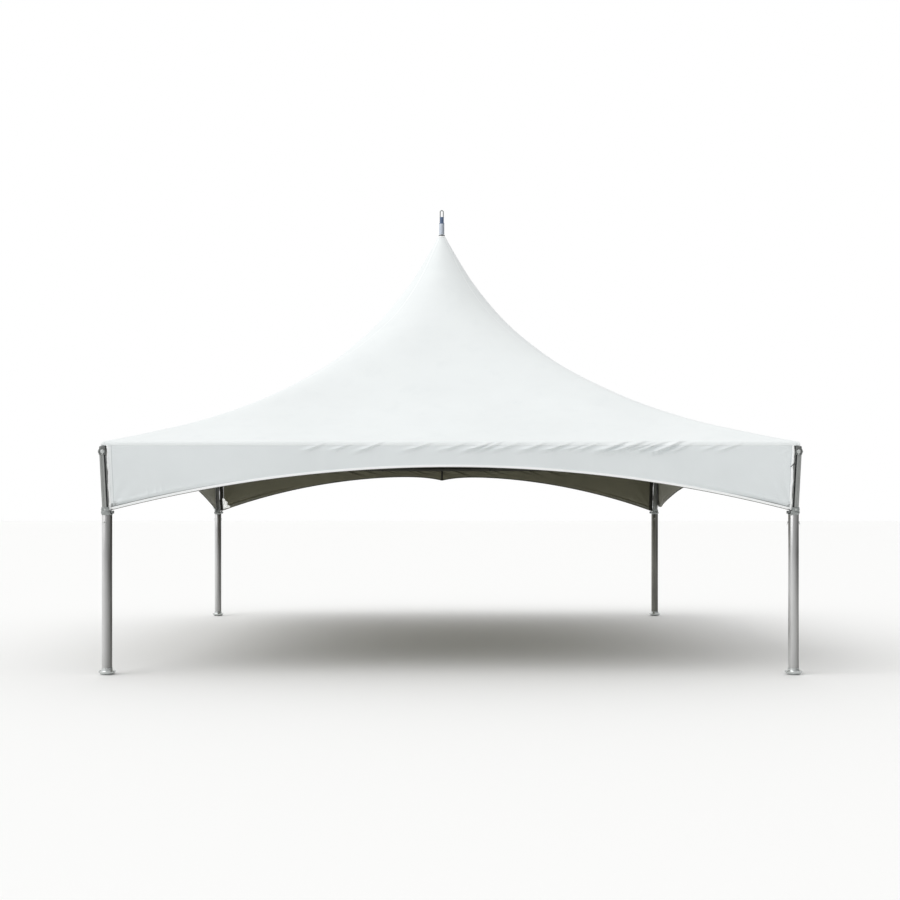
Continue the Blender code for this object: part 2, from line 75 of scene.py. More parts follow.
# valances
HEM_CORNER_Z = 1.455
DROP = SEAM_Z - HEM_CORNER_Z
HEM_RISE = 0.382             # the arch's height above the corners
BACK_RISE, BACK_POWER = 0.495, 2.2               # the same at the back, whose arch is fuller
DIP_X, DIP, DIP_REACH = 0.08, 0.065, 0.25        # the back hem dips at its middle seam
LEAN = 0.022                 # the foot lies this far inside the top
LAP = 0.008                  # the valance runs this far up behind the roof's edge
TOP_HALF, FOOT_HALF = 3.040, 3.020
# frame
SPAN = 3.05                  # leg axis from the tent's centre
AT_LEG = Matrix.Translation((SPAN, SPAN, 0))
SOCKET_TOP = 1.485           # the post stands in the collar's socket
POST_FOOT, POST_HEAD = 3.058, 3.077              # the post's axis from the tent's centre, at its two ends
CROWN_FOOT, CROWN_TOP, BOSS_Z = 1.945, 2.0265, 1.978             # crown casting's ends and its two large bolts
RAIL_END = 3.020             # half the length between the crowns' shoulders
DIAGONAL = Matrix.Rotation(math.pi / 4, 4, "Z")
LUG_REACH, LUG_Z = 4.262, 2.003                  # crown's rope lug, along the diagonal from the mast
FOOT_REACH, FOOT_Z = 0.085, 1.975                # mast foot's edge, where the ropes end
SCREW = 0.30                 # length of a rigging screw
MAST_R, MAST_TOP, CUP_FLOOR = 0.029, 4.735, 1.970
MAST_BORE = MAST_R + GAP
EYE_FOOT_Z, EYE_HALF, EYE_ROD = 4.803, 0.0175, 0.0058            # lifting eye's foot, half width and thickness
TOP_Z = 4.895
EYE_BEND_Z = TOP_Z - EYE_ROD - EYE_HALF


# ---------------------------------------------------------------- modelling helpers
def only(piece):
    bpy.ops.object.select_all(action="DESELECT")
    piece.select_set(True)
    bpy.context.view_layer.objects.active = piece


def named(name):
    piece = bpy.context.active_object
    piece.name = piece.data.name = name
    return piece


def added(name, primitive, **sizes):
    """A new primitive under its own name, with nothing else selected."""
    bpy.ops.object.select_all(action="DESELECT")
    primitive(**sizes)
    return named(name)


def grid(name, columns, rows):
    """A flat grid from -1 to 1, whose points its caller moves."""
    return added(name, bpy.ops.mesh.primitive_grid_add, x_subdivisions=columns, y_subdivisions=rows, size=2,
                 location=(0, 0, 0))


def points_of(mesh):
    flat = np.empty(len(mesh.vertices) * 3)
    mesh.vertices.foreach_get("co", flat)
    return flat.reshape(-1, 3)


def point_of_loops(mesh):
    loops = np.empty(len(mesh.loops), dtype=np.int64)
    mesh.loops.foreach_get("vertex_index", loops)
    return loops


def mend(merge=0.0, cap=False):
    """Merges doubles in the active mesh, caps its open ends and turns its faces outwards."""
    bpy.ops.object.mode_set(mode="EDIT")
    bpy.ops.mesh.select_all(action="SELECT")
    if merge:
        bpy.ops.mesh.remove_doubles(threshold=merge)
    if cap:
        bpy.ops.mesh.select_all(action="SELECT")
        bpy.ops.mesh.fill_holes(sides=0)
    bpy.ops.mesh.normals_make_consistent(inside=False)
    bpy.ops.object.mode_set(mode="OBJECT")


def settle(piece, where=None, smooth=35):
    """Applies modifiers and place, so that the object sits at the origin, and shades it by angle."""
    only(piece)
    for modifier in list(piece.modifiers):
        bpy.ops.object.modifier_apply(modifier=modifier.name)
    if where is not None:
        piece.matrix_world = where @ piece.matrix_world
    bpy.ops.object.transform_apply(location=True, rotation=True, scale=True)
    bpy.ops.object.shade_smooth_by_angle(angle=math.radians(smooth))
    return piece


def along(start, way):
    """The frame at start whose Z points this way."""
    return Matrix.Translation(start) @ way.to_track_quat("Z", "Y").to_matrix().to_4x4()


def angles(count):
    """Equal steps once round."""
    return [2 * math.pi * i / count for i in range(count)]


def ramp(value, start, full):
    """From 0 at its start to 1 where it is full, and level beyond them."""
    return np.clip((value - start) / (full - start), 0, 1)


def hump(value, centre, width):
    """A round hump, 1 high at its centre."""
    return np.exp(-(((value - centre) / width) ** 2))


def swapped(points):
    """The same points on the other side of the corner's diagonal."""
    return [(y, x, *rest) for x, y, *rest in points]


def turned(name, rings, where=None, sides=64, smooth=35):
    """A ring of points, extruded from one (radius, height) to the next. Radius zero closes to a point."""
    tiny = 0.00002
    radius, height = rings[0]
    piece = added(name, bpy.ops.mesh.primitive_circle_add, vertices=sides, radius=max(radius, tiny),
                  location=(0, 0, height), fill_type="NOTHING")
    bpy.ops.object.transform_apply(location=True)
    bpy.ops.object.mode_set(mode="EDIT")
    bpy.ops.mesh.select_all(action="SELECT")
    for (r0, z0), (r1, z1) in zip(rings, rings[1:]):
        bpy.ops.mesh.extrude_region_move(TRANSFORM_OT_translate={"value": (0, 0, z1 - z0)})
        share = max(r1, tiny) / max(r0, tiny)
        bpy.ops.transform.resize(value=(share, share, 1), center_override=(0, 0, z1))
    mend(3 * tiny)
    return settle(piece, where, smooth)


def rod(radius, low, high, foot=None, head=None):
    """Rings of a solid rod. Its foot and head are chamfered by so much (inwards, along)."""
    start = [(radius - foot[0], low), (radius, low + foot[1])] if foot else [(radius, low)]
    end = [(radius, high - head[1]), (radius - head[0], high)] if head else [(radius, high)]
    return [(0, low)] + start + end + [(0, high)]


def pipe(end, low, high):
    """Rings of a pipe, whose one end gives (radius, distance from the end) from its bore outwards."""
    wall = [(r, low + z) for r, z in end] + [(r, high - z) for r, z in reversed(end)]
    return wall + wall[:1]


def bevelled(piece, width):
    bevel = piece.modifiers.new("edges", "BEVEL")
    bevel.width, bevel.segments = width, 2
    bevel.limit_method, bevel.angle_limit = "ANGLE", math.radians(35)


def block(name, low, high, bevel, where=None):
    """A bevelled block from its lowest to its highest corner."""
    low, high = Vector(low), Vector(high)
    piece = added(name, bpy.ops.mesh.primitive_cube_add, size=1, location=(low + high) / 2, scale=high - low)
    bpy.ops.object.transform_apply(location=True, scale=True)
    bevelled(piece, bevel)
    return settle(piece, where)


def drawn(name, outline, low, high, bevel=0.0, shift=0.0, smooth=35):
    """A plate or bar: a disc whose rim is moved to an outline, then extruded upwards and outwards by its shift."""
    piece = added(name, bpy.ops.mesh.primitive_circle_add, vertices=len(outline), radius=1, location=(0, 0, 0),
                  fill_type="NGON")
    for vertex, (x, y) in zip(piece.data.vertices, outline):
        vertex.co = (x, y, low)
    bpy.ops.object.mode_set(mode="EDIT")
    bpy.ops.mesh.select_all(action="SELECT")
    bpy.ops.mesh.extrude_region_move(TRANSFORM_OT_translate={"value": (shift, shift, high - low)})
    mend()
    if bevel:
        bevelled(piece, bevel)
    return settle(piece, None, smooth)


def bent(name, points, radius, sides=3, closed=False):
    """A round bar or cord along points."""
    curve = added(name, bpy.ops.curve.primitive_bezier_curve_add).data
    curve.splines.clear()
    curve.dimensions = "3D"
    curve.bevel_depth, curve.bevel_resolution = radius, sides
    curve.use_fill_caps = True
    line = curve.splines.new("POLY")
    line.points.add(len(points) - 1)
    line.use_cyclic_u = closed
    for point, place in zip(line.points, points):
        point.co = (*place, 1.0)
    bpy.ops.object.convert(target="MESH")
    mend(0.00001)
    return settle(named(name), None, 60)


def joined(name, pieces):
    bpy.ops.object.select_all(action="DESELECT")
    for piece in pieces:
        piece.select_set(True)
    bpy.context.view_layer.objects.active = pieces[0]
    bpy.ops.object.join()
    return named(name)


def dress(piece, material, nodes=()):
    """Gives a finished piece its material, unless it has its own already, and its place on the body."""
    if material is not None:
        piece.data.materials.clear()
        piece.data.materials.append(material)
    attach(piece, "root")
    if nodes:
        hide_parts(*nodes)
    return piece


def four(piece, stem, names, materials, node=None):
    """Four copies of the piece, each with its own mesh a quarter turn on, in place of the frame's nodes."""
    for step, name in enumerate(names):
        mesh = piece.data.copy()
        mesh.transform(Matrix.Rotation(step * QUARTER, 4, "Z"))
        copy = bpy.data.objects.new(f"{stem}_{name}", mesh)
        mesh.name = copy.name
        bpy.context.scene.collection.objects.link(copy)
        material = materials[step] if isinstance(materials, tuple) else materials
        dress(copy, material, (f"{node}_{name}",) if node else ())
    bpy.data.objects.remove(piece, do_unlink=True)


# ---------------------------------------------------------------- materials
def srgb(code):
    """An sRGB hex colour as linear RGBA."""
    parts = [int(code[i : i + 2], 16) / 255 for i in (0, 2, 4)]
    return [p / 12.92 if p <= 0.04045 else ((p + 0.055) / 1.055) ** 2.4 for p in parts] + [1.0]


def blank(name, colour, roughness, metallic=0.0):
    material = bpy.data.materials.new(name)
    material.use_nodes = True
    ports = material.node_tree.nodes["Principled BSDF"].inputs
    for port, value in (("Base Color", srgb(colour)), ("Roughness", roughness), ("Metallic", metallic)):
        ports[port].default_value = value
    return material, material.node_tree, ports


def node(tree, kind, inputs=None, output=0, stops=(), to=None, **settings):
    """Adds one node with its settings and links and returns one output. Inputs are values or other outputs."""
    made = tree.nodes.new("ShaderNode" + kind)
    for key, value in settings.items():
        setattr(made, key, value)
    for key, value in (inputs or {}).items():
        if isinstance(value, bpy.types.NodeSocket):
            tree.links.new(value, made.inputs[key])
        else:
            made.inputs[key].default_value = value
    for element, (position, colour) in zip(made.color_ramp.elements if stops else (), stops):
        element.position, element.color = position, srgb(colour)
    if to is not None:
        tree.links.new(made.outputs[output], to)
    return made.outputs[output] if output is not None else made


def stained(tree, ports, colour, share, stain, height, depth):
    """Ends a material with its stain over its colour, and its relief."""
    node(tree, "Mix", {0: share, 6: colour, 7: srgb(stain)}, 2, to=ports["Base Color"], data_type="RGBA")
    node(tree, "Bump", {"Height": height, "Distance": depth}, to=ports["Normal"])


def coated_fabric(name, colours, roughness, seam_colour, hem_colour):
    """Polyester scrim coated with PVC and lacquered. The scrim's 1 mm threads are drawn 5 mm apart, as fine as the
    picture can hold. Colours: the ground, its slow clouds and the faint rain streaks down the slope."""
    material, tree, ports = blank(name, colours[0], roughness)
    place = node(tree, "TexCoord", output="Object")
    cloud = node(tree, "TexNoise", {"Vector": place, "Scale": 0.9, "Detail": 4.0, "Roughness": 0.6})
    colour = node(tree, "ValToRGB", {"Fac": cloud}, stops=((0.35, colours[0]), (0.68, colours[1])))
    tall = node(tree, "Mapping", {"Vector": place, "Scale": (5.0, 5.0, 0.45)})
    streak = node(tree, "TexNoise", {"Vector": tall, "Scale": 1.0, "Detail": 3.0, "Roughness": 0.55})
    streak = node(tree, "MapRange", {"Value": streak, "From Min": 0.55, "From Max": 0.85, "To Max": 0.35})
    colour = node(tree, "Mix", {0: streak, 6: colour, 7: srgb(colours[2])}, 2, data_type="RGBA")
    # the cloth is doubled and welded for 20 mm along its edges, with a fine shadow line where the upper layer ends
    edge, above = (node(tree, "SeparateXYZ", {"Vector": node(tree, "UVMap", uv_map="edges")}, axis) for axis in "XY")
    doubled, begins, ends = (
        node(tree, "MapRange", {"Value": edge, "From Min": start, "From Max": full})
        for start, full in ((0.020, 0.018), (0.018, 0.0205), (0.0225, 0.020))
    )
    seam = node(tree, "Math", {0: begins, 1: ends}, operation="MULTIPLY")
    half = node(tree, "Math", {0: doubled, 1: 0.5}, operation="MULTIPLY")
    colour = node(tree, "Mix", {0: half, 6: colour, 7: srgb(hem_colour)}, 2, data_type="RGBA")
    # above the hem's band the last half metre to each corner holds a painted shadow line, and the corner itself darker
    # blotches
    blot = node(tree, "TexNoise", {"Vector": place, "Scale": 60.0, "Detail": 2.0})
    line = (0.75, (above, 0.0230, 0.0260), (above, 0.0350, 0.0310), (edge, 0.70, 0.20))
    corner_dark_blotch = (0.8, (above, 0.080, 0.045), (edge, 0.046, 0.022), (edge, 0.004, 0.010), (blot, 0.40, 0.55))
    shadow_line_and_corner_dark = []
    for share, *limits in (line, corner_dark_blotch):
        for value, start, full in limits:
            within = node(tree, "MapRange", {"Value": value, "From Min": start, "From Max": full})
            share = node(tree, "Math", {0: within, 1: share}, operation="MULTIPLY")
        shadow_line_and_corner_dark.append(share)
    shadow_line_and_corner_dark = node(tree, "Math", {0: shadow_line_and_corner_dark[0], 1: shadow_line_and_corner_dark[1]}, operation="MAXIMUM")
    # the painted shadow line and the darker corner blotches, in one grey
    colour = node(tree, "Mix", {0: shadow_line_and_corner_dark, 6: colour, 7: srgb("6f7270")}, 2, data_type="RGBA")
    height = 0.0
    for axis in "XY":
        thread = node(tree, "SeparateXYZ", {"Vector": node(tree, "UVMap", uv_map="metres")}, axis)
        thread = node(tree, "Math", {0: thread, 1: 2 * math.pi / 0.005}, operation="MULTIPLY")
        thread = node(tree, "Math", {0: thread}, operation="SINE")
        height = node(tree, "Math", {0: thread, 1: 0.05, 2: height}, operation="MULTIPLY_ADD")
    crease = node(tree, "TexNoise", {"Vector": place, "Scale": 14.0, "Detail": 2.0})
    for relief, share in ((crease, 0.8), (doubled, 0.6)):
        height = node(tree, "Math", {0: relief, 1: share, 2: height}, operation="MULTIPLY_ADD")
    node(tree, "MapRange", {"Value": cloud, "From Min": 0.3, "From Max": 0.7, "To Min": roughness - 0.05,
                            "To Max": roughness + 0.06}, to=ports["Roughness"])
    stained(tree, ports, colour, seam, seam_colour, height, 0.0009)
    return material


def extruded_aluminium(name, axis, colours, roughness, painted_shade_colour=None):
    """Mill-finish extrusion, or a rope's drawn wire: fine die lines along its length, 4 mm apart, and a dull oxide
    bloom. A leg can be given painted shade, a darker colour towards its +X side, standing in for the shade away from
    the light."""
    material, tree, ports = blank(name, colours[0], roughness, 0.88)
    place = node(tree, "TexCoord", output="Object")
    drawn_out = node(tree, "Mapping", {"Vector": place, "Scale": [1.2 if one == axis else 260.0 for one in "xyz"]})
    lines = node(tree, "TexNoise", {"Vector": drawn_out, "Scale": 1.0, "Detail": 3.0, "Roughness": 0.55})
    patches = node(tree, "Mapping", {"Vector": place, "Scale": (9.0, 9.0, 3.0)})
    bloom = node(tree, "TexNoise", {"Vector": patches, "Scale": 1.0, "Detail": 5.0, "Roughness": 0.62})
    colour = node(tree, "ValToRGB", {"Fac": bloom}, stops=((0.3, colours[0]), (0.7, colours[1])))
    if painted_shade_colour:
        # painted shade: a sine of period twice the span is zero on the axis of every leg, and rises towards +X, where
        # it darkens the leg
        across = node(tree, "SeparateXYZ", {"Vector": place}, "X")
        phase = node(tree, "Math", {0: across, 1: math.pi / SPAN, 2: math.pi}, operation="MULTIPLY_ADD")
        side = node(tree, "Math", {0: phase}, operation="SINE")
        side = node(tree, "MapRange", {"Value": side, "From Min": -0.028, "From Max": 0.044})
        colour = node(tree, "Mix", {0: side, 6: colour, 7: srgb(painted_shade_colour)}, 2, data_type="RGBA")
    share = node(tree, "MapRange", {"Value": lines, "From Min": 0.5, "From Max": 0.75, "To Max": 0.30})
    dull = node(tree, "MapRange", {"Value": bloom, "From Min": 0.3, "From Max": 0.7, "To Min": roughness - 0.07,
                                   "To Max": roughness + 0.08})
    node(tree, "Math", {0: lines, 1: 0.05, 2: dull}, to=ports["Roughness"], operation="MULTIPLY_ADD")
    stained(tree, ports, colour, share, colours[2], lines, 0.0003)
    return material


def galvanised(name, colours, roughness, flake=130.0):
    """Zinc on steel, hot-dipped or plated: crystals 7 mm across at a flake scale of 130, with a whitish bloom."""
    material, tree, ports = blank(name, colours[0], roughness, 0.9)
    place = node(tree, "TexCoord", output="Object")
    cells = node(tree, "TexVoronoi", {"Vector": place, "Scale": flake}, "Color")
    tone = node(tree, "SeparateXYZ", {"Vector": cells}, "X")
    bloom = node(tree, "TexNoise", {"Vector": place, "Scale": 12.0, "Detail": 4.0, "Roughness": 0.55})
    mean = node(tree, "Math", {0: tone, 1: 0.35, 2: bloom}, operation="MULTIPLY_ADD")
    mean = node(tree, "Math", {0: mean, 1: 0.74}, operation="MULTIPLY")
    colour = node(tree, "ValToRGB", {"Fac": mean}, stops=((0.25, colours[0]), (0.75, colours[1])))
    dirt = node(tree, "TexNoise", {"Vector": place, "Scale": 30.0, "Detail": 3.0, "Roughness": 0.55})
    dirt = node(tree, "MapRange", {"Value": dirt, "From Min": 0.62, "From Max": 0.8, "To Max": 0.5})
    node(tree, "MapRange", {"Value": tone, "To Min": roughness - 0.06, "To Max": roughness + 0.06},
         to=ports["Roughness"])
    stained(tree, ports, colour, dirt, colours[2], bloom, 0.0006)
    return material


def sand_cast(name, colours, roughness, metallic, grain=900.0):
    """Cast in sand, forged or enamelled: a grain, a millimetre fine at a scale of 900, darker in its pits and paler
    where hands rub it."""
    material, tree, ports = blank(name, colours[0], roughness, metallic)
    place = node(tree, "TexCoord", output="Object")
    pits = node(tree, "TexNoise", {"Vector": place, "Scale": grain, "Detail": 2.0, "Roughness": 0.55})
    patch = node(tree, "TexNoise", {"Vector": place, "Scale": 25.0, "Detail": 4.0, "Roughness": 0.55})
    colour = node(tree, "ValToRGB", {"Fac": patch}, stops=((0.3, colours[0]), (0.7, colours[1])))
    share = node(tree, "MapRange", {"Value": pits, "From Min": 0.55, "From Max": 0.8, "To Max": 0.5})
    node(tree, "MapRange", {"Value": patch, "From Min": 0.3, "From Max": 0.7, "To Min": roughness - 0.08,
                            "To Max": roughness + 0.1}, to=ports["Roughness"])
    stained(tree, ports, colour, share, colours[2], pits, 0.0007)
    return material


def webbing(name, colours):
    """Woven polyester strap or braided cord: ribs across it, 3 mm apart, and a little soil."""
    material, tree, ports = blank(name, colours[0], 0.75)
    place = node(tree, "TexCoord", output="Object")
    soil = node(tree, "TexNoise", {"Vector": place, "Scale": 18.0, "Detail": 4.0, "Roughness": 0.55})
    node(tree, "ValToRGB", {"Fac": soil}, to=ports["Base Color"], stops=((0.35, colours[0]), (0.7, colours[1])))
    ribs = node(tree, "TexWave", {"Vector": place, "Scale": 105.0, "Distortion": 0.6, "Detail": 1.0}, "Fac")
    node(tree, "Bump", {"Height": ribs, "Distance": 0.0005}, to=ports["Normal"])
    return material


# soft cool white, lightly clouded, so that the big plain panels read as stretched cloth and not as paper
WHITE = coated_fabric("pvc_coated_polyester_roof", ("eef2f2", "eaeeee", "e2e7e8"), 0.46, "cfd5d6", "f5f8f8")
# the same cloth painted a shade greyer, as painted shade for cloth hanging upright under light from above: it sets the
# valances off from the roof
VALANCE_WHITE_PAINTED_SHADE = coated_fabric("pvc_coated_polyester_valance_painted_shade", ("e4e9ea", "dfe4e5", "e9edee"), 0.5, "b9bfc0", "f2f5f5")
# the blackout lining: matt olive grey, its own dark colour deepened as painted shade for the deep shade under the
# arches
LINING = coated_fabric("pvc_coated_polyester_olive_lining_painted_shade", ("7a7865", "706e5b", "83816d"), 0.62, "4a493f", "88856f")
# the same lining painted lighter and greyer on the two sides, as painted light on their inner faces, so that they part
# from the back one at the corners
SIDE_LINING_PAINTED_LIGHT = coated_fabric("pvc_coated_polyester_lining_painted_light", ("9f9e93", "939287", "a9a89c"), 0.62, "56554d",
                            "aaa99c")
# hems and laps are two or three layers thick, and painted whiter than the single cloth as a painted highlight where
# they catch the light
HEM_WHITE = coated_fabric("welded_hem_white", ("fbfcfc", "f6f8f8", "f0f3f3"), 0.5, "e4e8e8", "fbfcfc")
# a single loose white layer given an emitted painted glow, standing in for daylight through the cloth, so that it shows
# bright in the shade behind the legs
LIT_CORNER = coated_fabric("loose_corner_white_painted_glow", ("fbfcfc", "f4f6f5", "e9ecea"), 0.5, "e4e8e8", "fbfcfc")
for port, glow in (("Emission Color", srgb("f4f5f1")), ("Emission Strength", 0.40)):
    LIT_CORNER.node_tree.nodes["Principled BSDF"].inputs[port].default_value = glow
# bright on the side towards the light, darker on the other with painted shade on the +X side, and die lines that draw
# the eye along the leg
LEG_METAL = extruded_aluminium("extruded_aluminium_leg", "z", ("cdcdcd", "d8d8d8", "a5a5a5"), 0.33, "70706e")
# the back right leg is painted darker than the others, as painted shade where it stands in the canopy's shade
SHADED_LEG_METAL = extruded_aluminium("aluminium_leg_painted_shade", "z", ("7f7e79", "8d8c87", "64635f"), 0.36, "5c5b58")
# eave tubes painted near black as painted shade, so that they stay dark in the shade under the cover
EAVE_X_METAL, EAVE_Y_METAL = (
    extruded_aluminium(f"aluminium_eave_painted_shade_{axis}", axis, ("4a4943", "57564f", "3c3b36"), 0.5) for axis in "xy"
)
# greyer than the legs: lips and channels show as light and dark stripes down the post
POST_METAL = extruded_aluminium("extruded_aluminium_profile", "z", ("939593", "a3a5a3", "777977"), 0.38)
# matt spangled grey, for the sockets and cups that are duller than the tubes in them
ZINC = galvanised("hot_dip_galvanised_steel", ("8f9392", "a9adac", "6d706f"), 0.42)
# the feet are painted brighter than the other zinc, as painted light where they catch the light on their rims
FOOT_ZINC_PAINTED_LIGHT = galvanised("hot_dip_galvanised_foot_painted_light", ("c4c8c7", "dadddc", "959998"), 0.32)
# a faintly blue grey that sets the mast off from the cloth at the peak
MAST_ZINC = galvanised("galvanised_mast_tube", ("c2cad6", "d8dfe9", "98a1b0"), 0.36)
# dull mid grey with a visible grain: the knuckles of the frame, darker than anything round them
CAST = sand_cast("sand_cast_aluminium", ("6f7170", "868886", "4a4c4b"), 0.45, 0.9)
# almost black, for the thin dark ring between the cloth and the mast
DARK_CAST = sand_cast("cast_iron_dark", ("3b3d3e", "4a4c4d", "242526"), 0.55, 0.7)
# the one colour on the tent: dark blue grey with a soft enamel gloss
BLUED = sand_cast("enamelled_steel_blue_grey", ("475872", "60728f", "2c374a"), 0.34, 0.35, 400.0)
# small bright points that tell where things are bolted
BRIGHT_ZINC = galvanised("zinc_plated_bolt", ("b9bcba", "cfd2d0", "8d908e"), 0.3, 300.0)
# black hooks, which read as dark spots against the white hem corners
DARK_STEEL = sand_cast("forged_steel_hook", ("2c2e30", "3b3d40", "1a1b1c"), 0.45, 0.8)
# dull grey strands whose twist glitters along the rope
ROPE = extruded_aluminium("galvanised_wire_strand", "z", ("6f716f", "858785", "545654"), 0.4)
# matt black cord: the keder rope in the posts' channels, whose black also stands in as painted shade for the sharp dark
# line there, and the lacing over the white hem
CORD = webbing("elastic_cord_dark", ("17181a", "242527"))
# dark olive straps, a tone deeper than the lining they lie on
DARK_WEBBING = webbing("polyester_webbing_dark", ("2a2a24", "36352d"))
# the webbing in the hem, a thin grey line that closes the white band below, its grey also painted shade under the hem
GREY_WEBBING = webbing("polyester_webbing_grey", ("5c5d57", "6a6b64"))


# ---------------------------------------------------------------- cloth
def thicken(piece, outer, inner):
    """Gives the cloth its thickness inwards, with the lining on its inner face."""
    only(piece)
    piece.data.materials.clear()
    for material in (outer, inner):
        piece.data.materials.append(material)
    solid = piece.modifiers.new("cloth", "SOLIDIFY")
    solid.thickness, solid.offset, solid.material_offset = CLOTH, -1, 1
    bpy.ops.object.modifier_apply(modifier="cloth")
    bpy.ops.object.shade_smooth()


def uv_maps(mesh, metres, edges):
    """The two maps that coated fabric reads: metres along and up the cloth, and distance from its side and foot."""
    for layer in list(mesh.uv_layers):
        mesh.uv_layers.remove(layer)
    for label, pair in (("metres", metres), ("edges", edges)):
        layer = mesh.uv_layers.new(name=label)
        layer.data.foreach_set("uv", np.column_stack(pair).astype(np.float32).ravel())


def plain_maps(piece):
    """Maps for a strip of cloth, which has no doubled edge of its own."""
    x, y, z = np.array([piece.data.vertices[loop.vertex_index].co for loop in piece.data.loops]).T
    uv_maps(piece.data, (x + y, z), (np.ones(len(z)), z))


# the front's folds are where the photograph shows them, larger and closer together towards the right
FRONT_FOLDS = (              # place along the eave and size
    (-1.22, 0.7), (-0.98, 0.6), (-0.73, 0.9), (-0.31, 0.8), (0.0, 0.7), (0.22, 1.0), (0.32, 0.9), (0.47, 0.7),
    (0.71, 0.9), (0.92, 1.0), (1.08, 0.6), (1.19, 0.8), (1.40, 1.2), (1.54, 1.5), (1.64, 0.8), (1.74, 1.0),
    (1.90, 1.5), (2.04, 0.8), (2.30, 0.5), (2.46, 0.6),
)
FOLD_FOOT = 0.022            # the folds are highest this far below the seam
FOLDS_END = 2.96             # and have died away this far from the eave's middle


def scattered(seed, count, start, end):
    """Uneven places and sizes for the folds of an eave that the photograph doesn't show."""
    chance = random.Random(seed)
    step = (end - start) / count
    return [(start + step * (i + chance.uniform(0.1, 0.9)), chance.uniform(0.45, 1.25)) for i in range(count)]


def fold_list(seed, places):
    """Slanting folds along an eave: (place, slant, half width, half length up the cloth, height)."""
    chance = random.Random(seed)
    return [(place, chance.uniform(2.2, 3.2), chance.uniform(0.0095, 0.0130),
             (0.4 + 0.6 * size) * chance.uniform(0.032, 0.042), size * chance.uniform(0.0190, 0.0240))
            for place, size in places]


FOLDS = {
    "front": fold_list(3, FRONT_FOLDS),
    "back": fold_list(5, scattered(15, 20, -2.6, 2.6)),
    "left": fold_list(7, scattered(17, 17, -2.6, 2.4)),
    "right": fold_list(9, scattered(19, 21, -2.4, 2.6)),
}


def eave_folds(side, s, t):
    """How far the cloth stands out at s along the eave and t above the seam, square to its surface."""
    out = np.zeros_like(s)
    up = t + FOLD_FOOT
    for place, slant, width, length, height in FOLDS[side]:
        across = (s - place - slant * up) / (width * math.hypot(1, slant))
        ridge = hump(across, 0, np.where(across < 0, 1.9, 0.5)) - 0.2 * hump(across, 1.3, 1)
        out += height * ridge * hump(up, 0, length)
    return out * ramp(np.abs(s), FOLDS_END, FOLDS_END - 0.12)


# ---------------------------------------------------------------- roof
def roof_z(half):
    """Height of the cloth this far from the mast, on a smooth line through ROOF_LINE. Takes an array."""
    x, z = np.array(ROOF_LINE + (BEND_TOP,)).T
    width = np.diff(x)
    step = np.diff(z) / width
    slope = np.empty(len(x))
    slope[1:-1] = (step[:-1] * width[1:] + step[1:] * width[:-1]) / (width[:-1] + width[1:])
    slope[0] = 2 * step[0] - slope[1]
    slope[-1] = -1 / math.tan(BEND_ANGLE)
    i = np.clip(np.searchsorted(x, half, side="right") - 1, 0, len(x) - 2)
    w = width[i]
    t = (half - x[i]) / w
    ends = (2 * t**3 - 3 * t**2 + 1) * z[i] + (3 * t**2 - 2 * t**3) * z[i + 1]
    return ends + w * ((t**3 - 2 * t**2 + t) * slope[i] + (t**3 - t**2) * slope[i + 1])


def roof_profile(v):
    """Distance from the mast, height and outward normal at a share v of the way from the peak to the seam."""
    half = PEAK + (BEND_TOP[0] - PEAK) * ramp(v, 0, FIELD_SHARE) ** ROW_CROWD
    height = roof_z(half)
    tilt = (roof_z(half + 0.002) - height) / 0.002
    run = ramp(v, FIELD_SHARE, 1) * TURN_DOWN
    turn = BEND_ANGLE - np.minimum(run, BEND_ARC) / BEND_R
    drop = np.maximum(run - BEND_ARC, 0)
    bending = run > 0
    half = np.where(bending, EAVE_AXIS + BEND_R * np.cos(turn), half)
    height = np.where(bending, EAVE_AXIS_Z + BEND_R * np.sin(turn) - drop, height)
    return half, height, np.where(bending, turn, np.arctan2(1, -tilt))


def wrapped(across, half, height):
    """Where a point lies beyond the mast, at a share across its side: round sections turn square down the roof."""
    angle = np.sign(across) * (1 - (1 - np.abs(across)) ** COLUMN_CROWD) * math.pi / 4
    depth = PEAK_Z - height
    share = depth / (PEAK_Z - BEND_TOP[1])
    sharp = 2 + (np.maximum(depth, 0) / HIP_DEPTH) ** HIP_POWER / (1 - np.clip(share, 0, 0.9999) ** HIP_CLOSE)
    round_off = (1 + np.abs(np.tan(angle)) ** sharp) ** (1 / sharp)
    reach = half / np.cos(angle) / np.where(share < 0.9999, round_off, 1.0)
    return -reach * np.sin(angle), reach * np.cos(angle)


